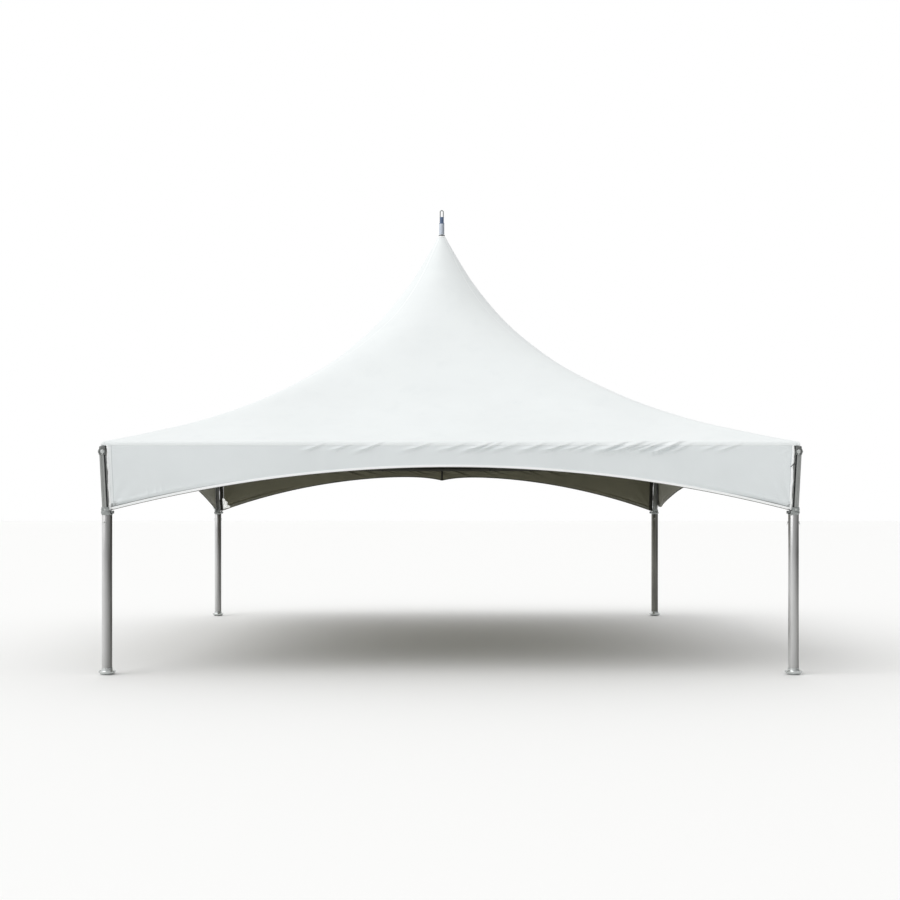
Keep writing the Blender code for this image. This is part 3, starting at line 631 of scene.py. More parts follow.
def roof_cover():
    """One closed membrane: a flat grid is refined towards the eave, wrapped round the mast and thickened."""
    piece = grid("roof_cover", 248, 40)
    mesh = piece.data
    for limit in (0.86, 0.925, 0.952):
        bpy.ops.object.mode_set(mode="EDIT")
        bpy.ops.mesh.select_mode(type="FACE")
        bpy.ops.mesh.select_all(action="DESELECT")
        bpy.ops.object.mode_set(mode="OBJECT")
        for face in mesh.polygons:
            face.select = (1 - face.center.y) / 2 > limit
        bpy.ops.object.mode_set(mode="EDIT")
        bpy.ops.mesh.subdivide(number_cuts=1)
        bpy.ops.mesh.select_mode(type="VERT")
        bpy.ops.object.mode_set(mode="OBJECT")
    flat = points_of(mesh)
    around, down = (flat[:, 0] + 1) * 2, (1 - flat[:, 1]) / 2
    side = np.minimum(np.floor(around + 1e-7), 3)
    across = (around - side) * 2 - 1
    half, level, lean = roof_profile(down)
    x, y = wrapped(across, half, level)
    above = np.where(down > FIELD_SHARE, (1 - down) / (1 - FIELD_SHARE) * TURN_DOWN,
                     TURN_DOWN + np.hypot(BEND_TOP[0] - half, level - BEND_TOP[1]))
    out = np.zeros(len(x))
    for index, name in enumerate(SIDES):
        here = (side == index) & (above < 0.2)
        out[here] = eave_folds(name, -x[here], above[here])
    ripple = 0.0022 * np.sin(x * 5.1 + 1.3 * level) * np.sin(level * 6.3)
    out += ripple * ramp(above, 0, 0.4) * ramp(level, 4.4, 4.0)
    out *= ramp(np.abs(across), 1, 0.88)
    y, z, turn = y + out * np.cos(lean), level + out * np.sin(lean), side * QUARTER
    place = np.column_stack([x * np.cos(turn) - y * np.sin(turn), x * np.sin(turn) + y * np.cos(turn), z])
    mesh.vertices.foreach_set("co", place.ravel())
    # a point on a hip has its place on the map of each side
    loops, face_side = point_of_loops(mesh), np.zeros(len(mesh.loops))
    for face in mesh.polygons:
        centre = sum(around[v] for v in face.vertices) / len(face.vertices)
        face_side[face.loop_start : face.loop_start + face.loop_total] = min(math.floor(centre), 3)
    x, y = wrapped((around[loops] - face_side) * 2 - 1, half[loops], level[loops])
    above = above[loops]
    uv_maps(mesh, (x, above), ((y - np.abs(x)) / math.sqrt(2), above + 1))
    only(piece)
    mend(0.00002)
    if sum(p.normal.z * p.area for p in mesh.polygons) < 0:
        mesh.flip_normals()
    thicken(piece, WHITE, LINING)
    dress(piece, None, [f"roof_panel_{name}" for name in SIDES])


# ---------------------------------------------------------------- valances, modelled behind the mast
def hem_of(side, share):
    """Height of the hem. The back one dips at its seam, and the right one's back corner hangs free of its hook."""
    if side == "back":
        arch = HEM_CORNER_Z + BACK_RISE * (1 - np.abs(share) ** BACK_POWER)
        return arch - DIP * np.exp(-np.abs(share * FOOT_HALF - DIP_X) / DIP_REACH)
    arch = HEM_CORNER_Z + HEM_RISE * (1 - share**2)
    return arch + 0.070 * ramp(-share, 0.90, 1) ** 1.6 if side == "right" else arch


def valance_shape(side, share, level):
    """Where the cloth lies at a share of the half width and a level from 0, the seam, to 1, the hem.

    Its x runs from the right to the left as seen from outside."""
    hem = hem_of(side, share)
    z = SEAM_Z + LAP + (hem - SEAM_Z - LAP) * level
    down = (SEAM_Z - z) / DROP
    half = TOP_HALF + (FOOT_HALF - TOP_HALF) * down
    x = share * half
    out = eave_folds(side, -x, z - SEAM_Z)
    chance = random.Random(len(side) * 11)
    for end in (-1, 1):
        # tension folds that fan out from each bottom corner
        dx, dz = end * half - x, z - HEM_CORNER_Z
        distance = np.hypot(dx, dz) + 1e-6
        bearing = np.arctan2(dz, np.abs(dx) + 1e-6)
        fan = np.sin(bearing * chance.uniform(13, 17) + chance.uniform(0, 6))
        slack = 0.0095 if (side, end) in (("left", 1), ("right", -1)) else 0.0028
        out += slack * fan * hump(distance, 0.16, 0.22) * ramp(distance, 0, 0.1)
        # and short creases where the eave's strap is drawn tight at the top corners
        fan = np.sin(np.arctan2(SEAM_Z - z, np.abs(dx) + 1e-6) * 11)
        out += 0.0016 * fan * hump(np.hypot(dx, SEAM_Z - z), 0, 0.25)
    creased_end = 1 if side in ("left", "front") else -1
    for place in (0.845, 0.862, 0.886):
        # three short upright creases above the hem, near one end
        out += 0.0045 * hump((share - place * creased_end) * half, 0, 0.009) * hump(z - hem, 0.075, 0.045)
    # the cloth bulges and then dips just above the hem's webbing, deeper towards the corners
    tight = ramp(np.abs(share), 0.62, 0.92)
    out += 0.0060 * tight * hump(z - hem, 0.058, 0.014) - (0.0012 + 0.0065 * tight) * hump(z - hem, 0.035, 0.010)
    if side == "right":
        # the free corner curls outwards
        out += 0.046 * (ramp(-share, 0.86, 1) * ramp(down, 0.15, 0.85)) ** 1.5
    out += 0.0014 * np.sin(x * 2.3 + down * 5) * np.sin(down * math.pi)
    out += 0.0010 * np.sin(x * 7.9 - down * 9 + len(side)) * np.sin(down * math.pi)
    # the cloth is stiffer along its side edges, and lies under the roof's edge above the seam
    stiff = 0.35 + 0.65 * ramp(np.abs(share), 1, 0.98)
    under = 0.0018 * ramp(z, SEAM_Z - 0.004, SEAM_Z)
    return x, EAVE - LEAN * down + out * stiff - under, z


def valance_cloth(side, turn):
    piece = grid(f"valance_cloth_{side}", 560, 40)
    mesh = piece.data
    flat = points_of(mesh)
    # rows lie closest along the eave, for its folds, and along the hem
    share, level = flat[:, 0], np.interp((1 - flat[:, 1]) / 2, (0, 0.35, 0.62, 1), (0, 0.17, 0.84, 1))
    x, y, z = valance_shape(side, share, level)
    mesh.vertices.foreach_set("co", np.column_stack([x, y, z]).ravel())
    # the folded edge is nearly twice as wide at the front left corner
    from_side = (1 - np.abs(share)) * TOP_HALF * (0.55 if side == "front" else 1.0) ** (share > 0)
    loops = point_of_loops(mesh)
    uv_maps(mesh, (x[loops], z[loops]), (from_side[loops], (z - hem_of(side, share))[loops]))
    if mesh.polygons[0].normal.y < 0:
        mesh.flip_normals()
    thicken(piece, VALANCE_WHITE_PAINTED_SHADE, SIDE_LINING_PAINTED_LIGHT if side in ("left", "right") else LINING)
    mesh.transform(Matrix.Rotation(turn, 4, "Z"))
    return dress(piece, None, (f"valance_{side}",))


def swept(name, spine, section):
    """A strip: a ring of section offsets (out, up) carried along spine points (point, out, up)."""
    piece = grid(name, len(spine) - 1, len(section))
    for vertex in piece.data.vertices:
        i = round((vertex.co.x + 1) / 2 * (len(spine) - 1))
        j = round((vertex.co.y + 1) / 2 * len(section)) % len(section)
        point, out, up = spine[i]
        vertex.co = point + out * section[j][0] + up * section[j][1]
    mend(0.000005, cap=True)
    return settle(piece, None, 50)


def rounded_strip(width, thick, low=0.0, points=3):
    """A flat strip's section, (out, up), with rounded edges, centred on the cloth."""
    radius = thick / 2
    turns = [(centre, math.radians(start + 180 * i / points))
             for centre, start in ((width - radius, 0), (radius, 180)) for i in range(points + 1)]
    return [(radius * math.cos(a), low + centre + radius * math.sin(a)) for centre, a in turns]


def strip(name, line, up, section, turn, material):
    """A strip of cloth or webbing along a line of x, y and z, turned to its own side."""
    piece = swept(name, [(Vector(point), Y, up) for point in zip(*line)], section)
    piece.data.transform(Matrix.Rotation(turn, 4, "Z"))
    plain_maps(piece)
    return dress(piece, material)


def hem_band(side, turn):
    """The hem folded round its webbing: a white band 21 mm tall on the outer face, over a darker webbing edge."""
    shares = np.linspace(-0.9985, 0.9985, 300)
    x, y, z = valance_shape(side, shares, np.ones(len(shares)))
    # the band lies on the cloth's outermost line over its height
    levels = [1 - up / (SEAM_Z + LAP - z) for up in (0, 0.008, 0.016, 0.025)]
    over = np.max([valance_shape(side, shares, level)[1] for level in levels], axis=0)
    webbing_line = (x, y - 0.0006, z - 0.0008)
    return [
        strip(f"hem_band_{side}", (x, over + 0.0014, z + 0.004), Z, rounded_strip(0.021, 0.0036), turn, HEM_WHITE),
        strip(f"hem_webbing_{side}", webbing_line, Z, rounded_strip(0.014, 0.0024), turn, GREY_WEBBING),
    ]


def centre_seam():
    """The back valance's upright seam: a lap 26 mm wide, dark inside and white outside."""
    levels = np.linspace(0.01, 0.97, 40)
    x, y, z = valance_shape("back", np.full(len(levels), DIP_X / FOOT_HALF), levels)
    lap = rounded_strip(0.026, 0.0022, -0.013)
    return [strip("centre_seam_inside", (x, y - 0.0032, z), X, lap, 0, DARK_WEBBING),
            strip("centre_seam_outside", (x, y + 0.0008, z), X, lap, 0, HEM_WHITE)]


def edge_hem(side, turn, end, label):
    """The folded side edge of a valance, 18 mm wide and a little wavy."""
    phase = random.Random(len(side) + 5 * end).uniform(0, 6)
    levels = np.linspace(0.012, 0.985, 60)
    x, y, z = valance_shape(side, np.full(len(levels), float(end)), levels)
    wave = 0.0022 * np.sin(levels * 17 + phase) + 0.0012 * np.sin(levels * 41 + phase * 2)
    line = (x + end * (0.006 + wave), y + 0.0012 + 0.6 * wave, z)
    return strip(f"edge_hem_{label}", line, X * -end, rounded_strip(0.018, 0.0052), turn, HEM_WHITE)


def folded_edge(side, turn, end, label):
    """Inside each end the cloth's edge is folded back: a dark band 46 mm wide, dark also as painted shade, with its
    white cut edge. At the foot the fold opens into a crumpled corner, except where it is folded flat, without its white
    edge too at the back right."""
    levels = np.linspace(0.02, 0.97, 90)
    share = np.full(len(levels), float(end))
    x, y, z = valance_shape(side, share, levels)
    made = []
    for name, inset, width, back, material in (
        ("fold_band_and_shade", 0.0, 0.046, 0.0055, DARK_WEBBING), ("fold_edge", 0.046, 0.010, 0.0060, HEM_WHITE),
    ):
        # it lies on the cloth's innermost line over its width
        shares = [share * (1 - (inset + step * width) / FOOT_HALF) for step in (0, 0.25, 0.5, 0.75, 1)]
        behind = np.min([valance_shape(side, one, levels)[1] for one in shares], axis=0)
        behind = np.array([min(behind[max(i - 4, 0) : i + 5]) for i in range(len(behind))])
        line = (x - end * inset, behind - back, z)
        made.append(strip(f"{name}_{label}", line, X * -end, rounded_strip(width, 0.0022), turn, material))
        if (side, end) in (("back", 1), ("right", -1)):
            return made
    return made if (side, end) == ("left", 1) else made + [fold_corner(turn, end, label)]


def fold_corner(turn, end, label):
    """The crumpled corner at the foot of a folded edge, narrower at its top."""
    patch = grid(f"fold_corner_{label}", 26, 34)
    mesh = patch.data
    u, v = ((points_of(mesh) + 1) / 2).T[:2]
    width = 0.022 + 0.068 * (1 - v) ** 0.8 * (1 + 0.22 * np.sin(v * 14))
    across = 0.026 + 0.016 * (1 - v) + u * width
    x = end * (FOOT_HALF - across)
    z = np.interp(np.abs(x) / FOOT_HALF, (0.95, 1.0), (1.492, 1.462)) + 0.016 + v * 0.150 + 0.05 * across
    puff = np.sin(math.pi * u) ** 0.7 * np.sin(math.pi * np.minimum(v * 0.96 + 0.04, 1)) ** 0.6
    crumple = 0.0110 * np.sin(u * 9 + v * 5) * np.sin(v * 15 - u * 4) + 0.0065 * np.sin(u * 21 + v * 17)
    y = EAVE - LEAN * (SEAM_Z - z) / DROP - 0.0165 - puff * (0.012 + crumple)
    mesh.vertices.foreach_set("co", np.column_stack([x, y, z]).ravel())
    mesh.update()
    if mesh.polygons[0].normal.y > 0:
        mesh.flip_normals()
    plain_maps(patch)
    patch.modifiers.new("cloth", "SOLIDIFY").thickness = 0.0016
    settle(patch, None, 60)
    mesh.transform(Matrix.Rotation(turn, 4, "Z"))
    return dress(patch, LIT_CORNER)


def valances():
    for step, side in enumerate(SIDES):
        turn = step * QUARTER
        ends = ((-1, f"{side}_a"), (1, f"{side}_b"))
        cloth = valance_cloth(side, turn)
        trim = hem_band(side, turn) + [edge_hem(side, turn, *end) for end in ends]
        for end in ends:
            trim += folded_edge(side, turn, *end)
        if side == "back":
            trim += centre_seam()


# ---------------------------------------------------------------- metalwork at a corner, modelled at the back right
def hex_head(name, across, height, where):
    """A hexagon head with a washer under it, a chamfered top and the end of its thread."""
    r = across / 2 / math.cos(math.pi / 6)
    return joined(name, [
        turned(name, rod(r, 0.002, height, head=(0.0014, 0.001)), where, 6, 25),
        turned(name + "_washer", rod(r * 1.3, 0, 0.002, head=(r * 0.05, 0.0004)), where, 32),
        turned(name + "_stub", rod(r * 0.5, height - 0.001, height + 0.003, head=(r * 0.1, 0.001)), where, 20),
    ])


def legs():
    """A 90 mm tube with rounded ends, and below the collar the two pins that lock it, each with a wire clip."""
    low, high = (corner.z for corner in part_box("leg_back_right"))
    wall = pipe(((0.0415, 0.002), (0.0430, 0), (0.0440, 0), (0.0450, 0.0015)), low, high)
    four(turned("leg", wall, AT_LEG, 96), "leg_tube", CORNERS, (SHADED_LEG_METAL,) + (LEG_METAL,) * 3, "leg")
    pins = []
    for angle in (math.radians(-105), math.radians(75)):
        out = Vector((math.cos(angle), math.sin(angle), 0))
        start, side = Vector((SPAN, SPAN, 1.353)) + out * 0.040, out.cross(Z)
        pins.append(turned("pin", rod(0.006, 0, 0.012, head=(0.0015, 0.002)), along(start, out), 20))
        loop = [start + out * (0.0105 - 0.004 * math.cos(a)) + side * 0.017 * math.sin(a)
                + Z * (0.026 * (math.cos(a) - 1) / 2 + 0.002) for a in angles(16)]
        pins.append(bent("clip", loop, 0.0013, sides=2, closed=True))
    four(joined("clip_pin", pins), "clip_pin", CORNERS, BRIGHT_ZINC)


def base_plates():
    """A pressed saucer with a rolled rim, and a hub with its bead of weld round the leg."""
    saucer = turned("saucer", [
        (0.0, 0.0), (0.0430, 0.0), (0.0500, 0.0014), (0.0590, 0.0062), (0.0664, 0.0124), (0.0718, 0.0188),
        (0.0748, 0.0250), (0.0757, 0.0282), (0.0748, 0.0302), (0.0730, 0.0310), (0.0712, 0.0304), (0.0680, 0.0278),
        (0.0620, 0.0258), (0.0570, 0.0268), (0.0535, 0.0310), (0.0508, 0.0380), (0.0486, 0.0500), (0.0474, 0.0558),
        (0.0458, 0.0565), (0.0453, 0.0550), (0.0453, 0.0085), (0.0, 0.0085),
    ], AT_LEG, 96, 50)
    bead = []
    for i, a in enumerate(angles(60)):
        r = 0.0468 + 0.0006 * math.sin(i * 5.0)
        bead.append((SPAN + r * math.cos(a), SPAN + r * math.sin(a), 0.0566))
    weld = bent("weld", bead, 0.0017, sides=2, closed=True)
    four(joined("foot", [saucer, weld]), "foot_saucer", CORNERS, FOOT_ZINC_PAINTED_LIGHT, "base_plate")


def leg_collars():
    """A flared cap on the leg with a square socket, two lugs and the hooks that hold the hem corners down."""
    cap = turned("cap", [
        (0.0, 1.4152), (0.0465, 1.4152), (0.0475, 1.4162), (0.0478, 1.4240), (0.0498, 1.4275), (0.0524, 1.4300),
        (0.0530, 1.4325), (0.0530, 1.4450), (0.0518, 1.4472), (0.0495, 1.4480), (0.0, 1.4480),
    ], AT_LEG, 96, 40)
    low, high = POST_FOOT - 0.0335, POST_FOOT + 0.0335
    socket = block("socket", (low, low, 1.440), (high, high, SOCKET_TOP), 0.004)
    lug_y = EAVE - LEAN - 0.0015
    lug = [(SPAN - 0.068, lug_y - 0.008, 1.427), (SPAN - 0.030, lug_y + 0.008, 1.454)]
    lugs = [block("lug", *ends, 0.003) for ends in (lug, swapped(lug))]
    four(joined("collar", [cap, socket] + lugs), "collar", CORNERS, ZINC, "leg_collar")
    start = Vector((POST_FOOT, POST_FOOT, 1.463))
    bolts = [hex_head("bolt", 0.013, 0.008, along(start + out * 0.0334, out)) for out in (X, Y)]
    four(joined("collar_bolts", bolts), "collar_bolts", CORNERS, BRIGHT_ZINC)
    hook = [(SPAN - inside, lug_y + 0.0105 + out, z) for inside, out, z in (
        (0.0615, 0, 1.4500), (0.0625, 0.004, 1.4430), (0.0600, 0.006, 1.4330), (0.0520, 0.006, 1.4270),
        (0.0430, 0.006, 1.4290), (0.0385, 0.005, 1.4370), (0.0400, 0.004, 1.4480), (0.0450, 0.003, 1.4580),
        (0.0520, 0.003, 1.4700),
    )]
    hooks = [bent("hook", path, 0.0032) for path in (hook, swapped(hook))]
    four(joined("hem_hooks", hooks), "hem_hooks", CORNERS, DARK_STEEL)


def corner_posts():
    """A grooved post, whose two outer faces have a raised lip at the corner, a flat and a deep keder channel, and whose
    two inner faces have a groove in the middle. A dark keder rope fills each channel, and its dark also stands in as
    painted shade."""
    inner = [(-0.029, -0.029), (-0.0065, -0.029), (-0.0065, -0.027), (-0.0090, -0.027), (-0.0090, -0.0200),
             (0.0090, -0.0200), (0.0090, -0.027), (0.0065, -0.027), (0.0065, -0.029), (0.029, -0.029)]
    outer = [(0.029, -0.0265), (0.0130, -0.0265), (0.0130, -0.0110), (0.0262, -0.0110), (0.0262, 0.0090),
             (0.0285, 0.0100), (0.0290, 0.0110), (0.0290, 0.0220)]
    lip = [(0.022 + 0.007 * math.cos(a), 0.022 + 0.007 * math.sin(a)) for a in map(math.radians, (15, 30, 45))]
    half = inner + outer + lip
    rope = [(0.0132, -0.0262), (0.0205, -0.0262), (0.0225, -0.0230), (0.0225, -0.0140), (0.0205, -0.0113),
            (0.0132, -0.0113)]
    made = []
    for name, section, low, high, smooth in (
        ("post", half + swapped(half[-2:0:-1]), SOCKET_TOP + GAP, CROWN_FOOT - GAP, 20),
        ("keder", rope, SOCKET_TOP + 4 * GAP, CROWN_FOOT - 2 * GAP, 35),
        ("keder", swapped(rope[::-1]), SOCKET_TOP + 4 * GAP, CROWN_FOOT - 2 * GAP, 35),
    ):
        outline = [(x + POST_FOOT, y + POST_FOOT) for x, y in section]
        made.append(drawn(name, outline, low, high, shift=POST_HEAD - POST_FOOT, smooth=smooth))
    four(made[0], "post", CORNERS, POST_METAL, "corner_post")
    four(joined("keder", made[1:]), "keder_rope", CORNERS, CORD)


def crown():
    """A cast block on the post with two bolted bosses, sockets for the eave tubes and a lug for the rope."""
    low, high = POST_HEAD - 0.024, POST_HEAD + 0.034
    corner, radius = high - 0.026, 0.026
    arc = [(corner + radius * math.cos(a), corner + radius * math.sin(a)) for a in angles(32)[:9]]
    outline = [(low + 0.014, low), (high, low)] + arc + [(low, high), (low, low + 0.014)]
    parts = [drawn("crown", outline, CROWN_FOOT, CROWN_TOP, bevel=0.009)]
    elbow, head = Vector((EAVE_AXIS, EAVE_AXIS, EAVE_AXIS_Z)), Vector((POST_HEAD, POST_HEAD, BOSS_Z))
    ball = [(TUBE_R * math.sin(a), -TUBE_R * math.cos(a)) for a in map(math.radians, range(0, 181, 10))]
    parts.append(turned("elbow", ball, Matrix.Translation(elbow), 48, 60))
    end = EAVE_AXIS - RAIL_END
    bolts = []
    for out in (X, Y):
        parts.append(turned("shoulder", [
            (0, 0), (0.024, 0), (0.024, end - 0.002), (0.0225, end), (0.0206, end), (0.0206, 0.126), (0, 0.126),
        ], along(elbow, -out), 48))
        parts.append(turned("boss", [
            (0, 0), (0.0262, 0), (0.0262, 0.0055), (0.0250, 0.0075), (0.0218, 0.0075), (0.0205, 0.0050), (0, 0.0050),
        ], along(head + out * 0.030, out), 48))
        bolts.append(hex_head("crown_bolt", 0.024, 0.010, along(head + out * 0.035, out)))
        bolts.append(hex_head("low_bolt", 0.010, 0.005, along(head + out * 0.0335 - Z * 0.025, out)))
    low, high = (LUG_REACH, -0.0045, LUG_Z - 0.016), (4.330, 0.0045, LUG_Z + 0.016)
    parts.append(block("rope_lug", low, high, 0.002, DIAGONAL))
    four(joined("crown", parts), "crown", CORNERS, CAST, "corner_crown")
    four(joined("crown_bolts", bolts), "crown_bolts", CORNERS, BRIGHT_ZINC)


def eave_rails():
    """The 48 mm eave tubes, with webbing straps three quarters round them that keep the cover in place."""
    end = RAIL_END - GAP
    wall = pipe(((0.0210, 0.001), (0.0220, 0), (0.0230, 0), (TUBE_R, 0.001)), 0, 2 * end)
    rail = turned("rail", wall, along((end, EAVE_AXIS, EAVE_AXIS_Z), -X), 48)
    four(rail, "eave_rail", SIDES, (EAVE_X_METAL, EAVE_Y_METAL) * 2, "eave_tube")
    radius, round_tube = 0.0258, [(math.cos(a), math.sin(a)) for a in angles(28)[:22]]
    straps = []
    for x in (-2.25, -0.75, 0.75, 2.25):
        spine = [(Vector((x, EAVE_AXIS + radius * c, EAVE_AXIS_Z + radius * s)), Vector((0, c, s)), X)
                 for c, s in round_tube]
        straps.append(swept("keeper", spine, rounded_strip(0.025, 0.0014, -0.0125, 2)))
    four(joined("keeper_straps", straps), "keeper_straps", SIDES, DARK_WEBBING)


def corner_lacing():
    """An elastic loop that ties a valance's side edge to the post."""
    loop = [(EAVE - 0.010 + 0.010 * math.sin(a), SPAN - 0.012 + 0.026 * math.cos(a),
             1.868 + 0.022 * math.cos(a) + 0.004 * math.sin(2 * a)) for a in angles(24)]
    four(bent("cord", loop, 0.0026, sides=2, closed=True), "lacing", CORNERS, CORD)


# ---------------------------------------------------------------- mast, ropes and peak
def mast():
    """The pole, and its foot: a cup through two eight-sided plates, with webs and a bolt for each rope."""
    pole = turned("mast_pole", pipe(((0.026, 0), (0.028, 0), (MAST_R, 0.001)), CUP_FLOOR + GAP, MAST_TOP))
    dress(pole, MAST_ZINC, ("mast",))
    cup = turned("cup", [
        (0, 1.957), (0.040, 1.957), (0.0445, 1.9605), (0.045, 1.965), (0.045, 2.046), (0.0438, 2.0492), (0.042, 2.050),
        (0.0305, 2.050), (MAST_BORE, 2.0485), (MAST_BORE, CUP_FLOOR), (0, CUP_FLOOR),
    ])
    corner = FOOT_REACH / math.cos(math.pi / 8)
    outline = [(corner * math.cos(a + math.pi / 8), corner * math.sin(a + math.pi / 8)) for a in angles(8)]
    plates = [drawn("plate", outline, low, low + 0.008, bevel=0.0015) for low in (1.965, 1.977)]
    webs = [block("web", (0.044, -0.003, 1.984), (0.080, 0.003, 2.020), 0.0012, Matrix.Rotation(i * QUARTER, 4, "Z"))
            for i in range(4)]
    dress(joined("mast_cup", [cup] + plates + webs), ZINC, ("mast_foot",))
    pins = []
    for i in range(4):
        turn = Matrix.Rotation(math.pi / 4 + i * QUARTER, 4, "Z")
        pins.append(hex_head("shackle_bolt", 0.017, 0.010, turn @ Matrix.Translation((0.068, 0, 1.985))))
        pins.append(hex_head("shackle_nut", 0.017, 0.010, turn @ along((0.068, 0, 1.965), -Z)))
    dress(joined("mast_foot_bolts", pins), BRIGHT_ZINC)


def crown_plate():
    """The dished ring that holds the cover out round the mast."""
    half, height, lean = roof_profile(np.linspace(0, 1, 600))
    rings = []
    for i in np.searchsorted(half, np.linspace(PEAK, 0.080, 9)):
        rings.append((half[i] - 0.0046 * math.cos(lean[i]), height[i] - 0.0046 * math.sin(lean[i])))
    radius, z = rings[-1]
    rings += [(radius + 0.0005, z - 0.004), (radius - 0.001, z - 0.009), (radius - 0.004, z - 0.012),
              (MAST_BORE + 0.012, z - 0.022), (MAST_BORE, z - 0.030), (MAST_BORE, rings[0][1]), rings[0]]
    dress(turned("crown_plate", rings, sides=96, smooth=40), CAST, ("mast_head",))


def peak_fittings():
    """Above the cover's mouth: a cloth collar drawn in to the mast, a worm-drive clamp, the mast's plug and its eye."""
    collar = turned("collar", [(r, PEAK_Z + up) for r, up in (
        (0.0425, -0.004), (0.0446, -0.002), (0.0446, 0.001), (0.0400, 0.008), (0.0362, 0.0125), (0.0338, 0.0150),
        (0.0330, 0.0200), (0.0330, 0.0300), (0.0322, 0.0308), (0.0299, 0.0306), (0.0295, 0.0290), (0.0295, 0.0200),
        (0.0330, 0.0050), (0.0425, -0.004),
    )], sides=96, smooth=50)
    plain_maps(collar)
    dress(collar, HEM_WHITE)
    band = pipe(((0.0331, 0), (0.0344, 0), (0.0347, 0.0005)), PEAK_Z + 0.0165, PEAK_Z + 0.0260)
    clamp = turned("clamp", band, sides=96, smooth=30)
    house = block("house", (-0.009, -0.0445, PEAK_Z + 0.0150), (0.009, -0.0345, PEAK_Z + 0.0272), 0.0015)
    screw = hex_head("clamp_screw", 0.007, 0.005, along((0.009, -0.0395, PEAK_Z + 0.0212), X))
    dress(joined("clamp_ring", [clamp, house, screw]), DARK_CAST, ("peak_ring",))
    base = MAST_TOP + GAP
    plug = turned("plug", [
        (0, base - 0.05), (0.0257, base - 0.05), (0.0257, base), (0.0280, base), (0.0290, base + 0.001),
        (0.0290, base + 0.007), (0.0282, base + 0.0085), (0.0245, base + 0.0100), (0.0236, base + 0.0125),
        (0.0235, 4.8090), (0.0228, 4.8112), (0.0205, 4.8120), (0, 4.8120),
    ])
    dress(plug, BLUED, ("lifting_eye",))
    stem = [EYE_FOOT_Z + (EYE_BEND_Z - EYE_FOOT_Z) * i / 5 for i in range(5)]
    bow = [(-EYE_HALF * math.cos(a), 0, EYE_BEND_Z + EYE_HALF * math.sin(a)) for a in angles(40)[:21]]
    path = [(-EYE_HALF, 0, z) for z in stem] + bow + [(EYE_HALF, 0, z) for z in reversed(stem)]
    parts = [bent("eye", path, EYE_ROD, sides=5)]
    weld = [(0, 4.8115), (0.0088, 4.8118), (0.0078, 4.8140), (0.0062, 4.8155), (0, 4.8155)]
    parts += [turned("weld", weld, Matrix.Translation((x, 0, 0)), 24, 60) for x in (-EYE_HALF, EYE_HALF)]
    dress(joined("eye_bar", parts), ZINC)


def rope_line():
    """Where a rope's parts lie: its end at the mast's foot, its unit way there from the crown, and the crown's end."""
    foot, lug = DIAGONAL @ Vector((FOOT_REACH, 0, FOOT_Z)), DIAGONAL @ Vector((LUG_REACH, 0, LUG_Z))
    way = (foot - lug).normalized()
    return foot, way, lug + way * 2 * GAP


def rigging_screws():
    """At the crown's lug a forked clevis on a threaded stud, then an open body between two nuts, and a swaged end."""
    _, way, start = rope_line()
    where = along(start, way)
    parts = [block("fork", (-0.012, y - 0.0025, -0.030), (0.012, y + 0.0025, 0.016), 0.002, where)
             for y in (-0.0075, 0.0075)]
    parts.append(block("fork_root", (-0.012, -0.0100, 0.010), (0.012, 0.0100, 0.024), 0.003, where))
    for name, side in (("clevis_pin", 1), ("clevis_nut", -1)):
        parts.append(hex_head(name, 0.012, 0.006, where @ along((0, side * 0.0100, -0.015), Y * side)))
    for low, high in ((0.022, 0.085), (0.215, 0.285)):
        count = int((high - low) / 0.0020)
        thread = [(0.0062 if i % 2 else 0.0074, low + (high - low) * i / count) for i in range(count + 1)]
        parts.append(turned("thread", [(0, low)] + thread + [(0, high)], where, 20, 60))
    for low in (0.062, 0.216):
        parts.append(turned("body_end", rod(0.0145, low, low + 0.022, (0.0025, 0.003), (0.0025, 0.003)), where, 32))
    for y in (-0.0112, 0.0112):
        bar = [where @ Vector((0, y, z)) for z in np.linspace(0.075, 0.225, 6)]
        parts.append(bent("body_bar", bar, 0.0048, sides=4))
    parts.append(turned("swage", rod(0.0100, 0.262, SCREW, (0.0015, 0.004), (0.0028, 0.012)), where, 32))
    four(joined("screw", parts), "rigging_screw", CORNERS, BRIGHT_ZINC, "turnbuckle")


def ropes():
    """From each screw to the mast's foot, six strands round a core, and a sleeved toggle at their end."""
    foot, way, start = rope_line()
    begin = start + way * (SCREW + GAP)
    total = (foot - way * 2 * GAP - begin).length
    lay, orbit = 0.085, 0.00345
    turns = total / lay
    count = int(turns * 10)
    strands = []
    for phase in angles(6):
        spiral = [2 * math.pi * turns * i / count + phase for i in range(count + 1)]
        path = [(orbit * math.cos(a), orbit * math.sin(a), total * i / count) for i, a in enumerate(spiral)]
        strands.append(bent("strand", path, 0.00185, sides=1))
    strands.append(turned("core", rod(0.0022, 0, total), None, 10, 60))
    sleeve = turned("sleeve", rod(0.0088, total - 0.072, total - 0.014, (0.0026, 0.006), (0.0022, 0.006)), None, 24)
    rope, place = joined("rope", strands), along(begin, way)
    for piece in (rope, sleeve):
        piece.data.transform(place)
    four(rope, "wire_rope", CORNERS, ROPE, "cable")
    toggle = [sleeve]
    for x in (-0.0118, 0.0118):
        low, high = (x - 0.0022, -0.011, total - 0.018), (x + 0.0022, 0.011, total + 0.032)
        toggle.append(block("cheek", low, high, 0.0015, place))
    toggle.append(block("bridge", (-0.014, -0.011, total - 0.022), (0.014, 0.011, total - 0.006), 0.002, place))
    four(joined("toggle", toggle), "rope_toggle", CORNERS, BRIGHT_ZINC)


# ---------------------------------------------------------------- camera and studio
def camera():
    data = bpy.data.cameras.new("camera")
    data.sensor_width, data.lens = 36, 47.98
    data.shift_x, data.shift_y = 0.0422, 0.0699
    data.clip_end = 300
    eye = bpy.data.objects.new("camera", data)
    eye.location = (-0.34, -13.71, 1.434)
    eye.rotation_euler = (QUARTER, 0, 0)
    bpy.context.scene.collection.objects.link(eye)
    bpy.context.scene.camera = eye


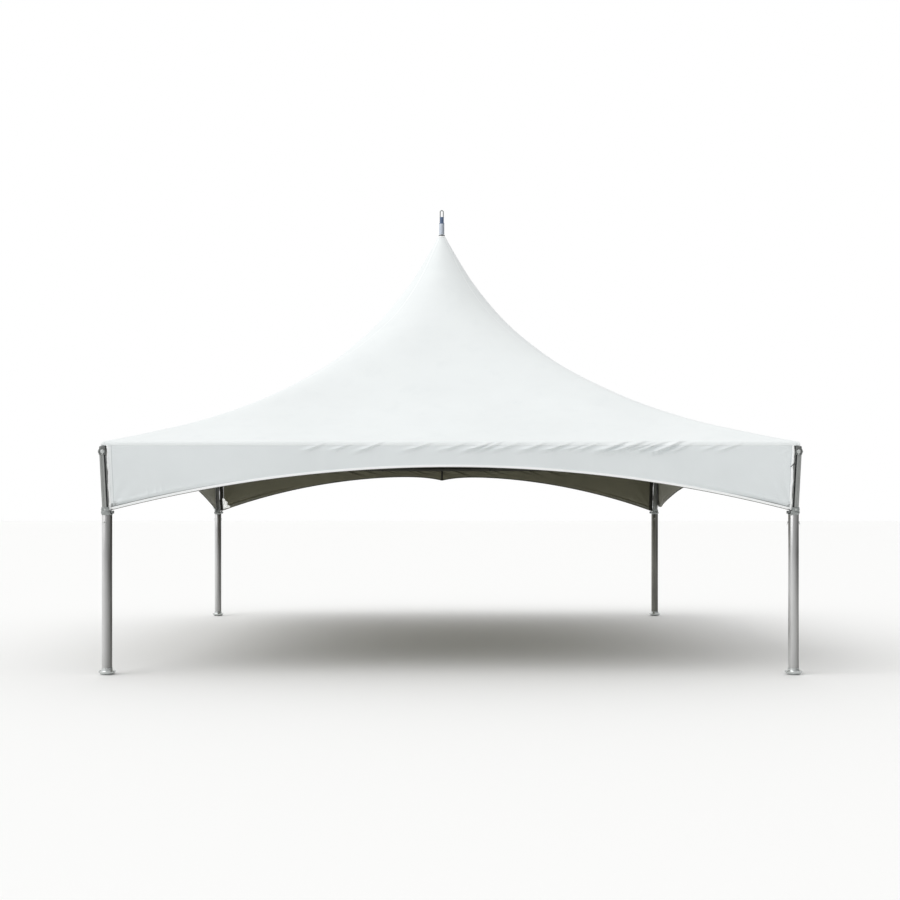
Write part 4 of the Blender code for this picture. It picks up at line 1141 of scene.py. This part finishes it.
def studio():
    """A pale floor, one broad sun from the upper left, and a white sky whose light is greyer in front and darker low
    on the right. The backdrop itself stays white."""
    floor = added("floor", bpy.ops.mesh.primitive_plane_add, size=400, location=(0, 0, -0.001))
    floor.data.materials.append(blank("floor_paint", "f6f6f5", 0.9)[0])
    world = bpy.data.worlds.new("sky")
    bpy.context.scene.world = world
    world.use_nodes = True
    tree = world.node_tree
    tree.nodes.clear()
    direction = node(tree, "TexCoord", output="Generated")
    tone = 0.95
    for axis, edge, full, low, high, depth in (
        ("X", 0.25, 0.80, 0.60, 0.15, 0.92),
        ("Y", -0.25, -0.75, 0.05, 0.30, 0.44),
    ):
        level = node(tree, "SeparateXYZ", {"Vector": direction}, "Z")
        aside = node(tree, "SeparateXYZ", {"Vector": direction}, axis)
        share = node(tree, "MapRange", {"Value": aside, "From Min": edge, "From Max": full, "To Max": depth})
        band = node(tree, "MapRange", {"Value": level, "From Min": low, "From Max": high})
        shade = node(tree, "Math", {0: share, 1: band}, operation="MULTIPLY")
        light = node(tree, "Math", {0: 1.0, 1: shade}, operation="SUBTRACT")
        tone = node(tree, "Math", {0: tone, 1: light}, operation="MULTIPLY")
    seen = node(tree, "LightPath", output="Is Camera Ray")
    tone = node(tree, "Mix", {0: seen, 2: tone, 3: 1.0}, 0, data_type="FLOAT")
    sky = node(tree, "Background", {"Color": (1.0, 1.0, 1.0, 1.0), "Strength": tone})
    node(tree, "OutputWorld", {"Surface": sky}, None)
    sun = bpy.data.lights.new("softbox", "SUN")
    sun.energy, sun.angle = 0.95, math.radians(50)
    lamp = bpy.data.objects.new("softbox", sun)
    lamp.rotation_euler = Vector((0.72, 0.42, -0.95)).to_track_quat("-Z", "Y").to_euler()
    bpy.context.scene.collection.objects.link(lamp)
    bpy.context.scene.view_settings.view_transform = "Standard"


camera()
for make in (roof_cover, valances, legs, base_plates, leg_collars, corner_posts, crown, eave_rails, mast, crown_plate,
             peak_fittings, rigging_screws, ropes, corner_lacing, studio):
    make()
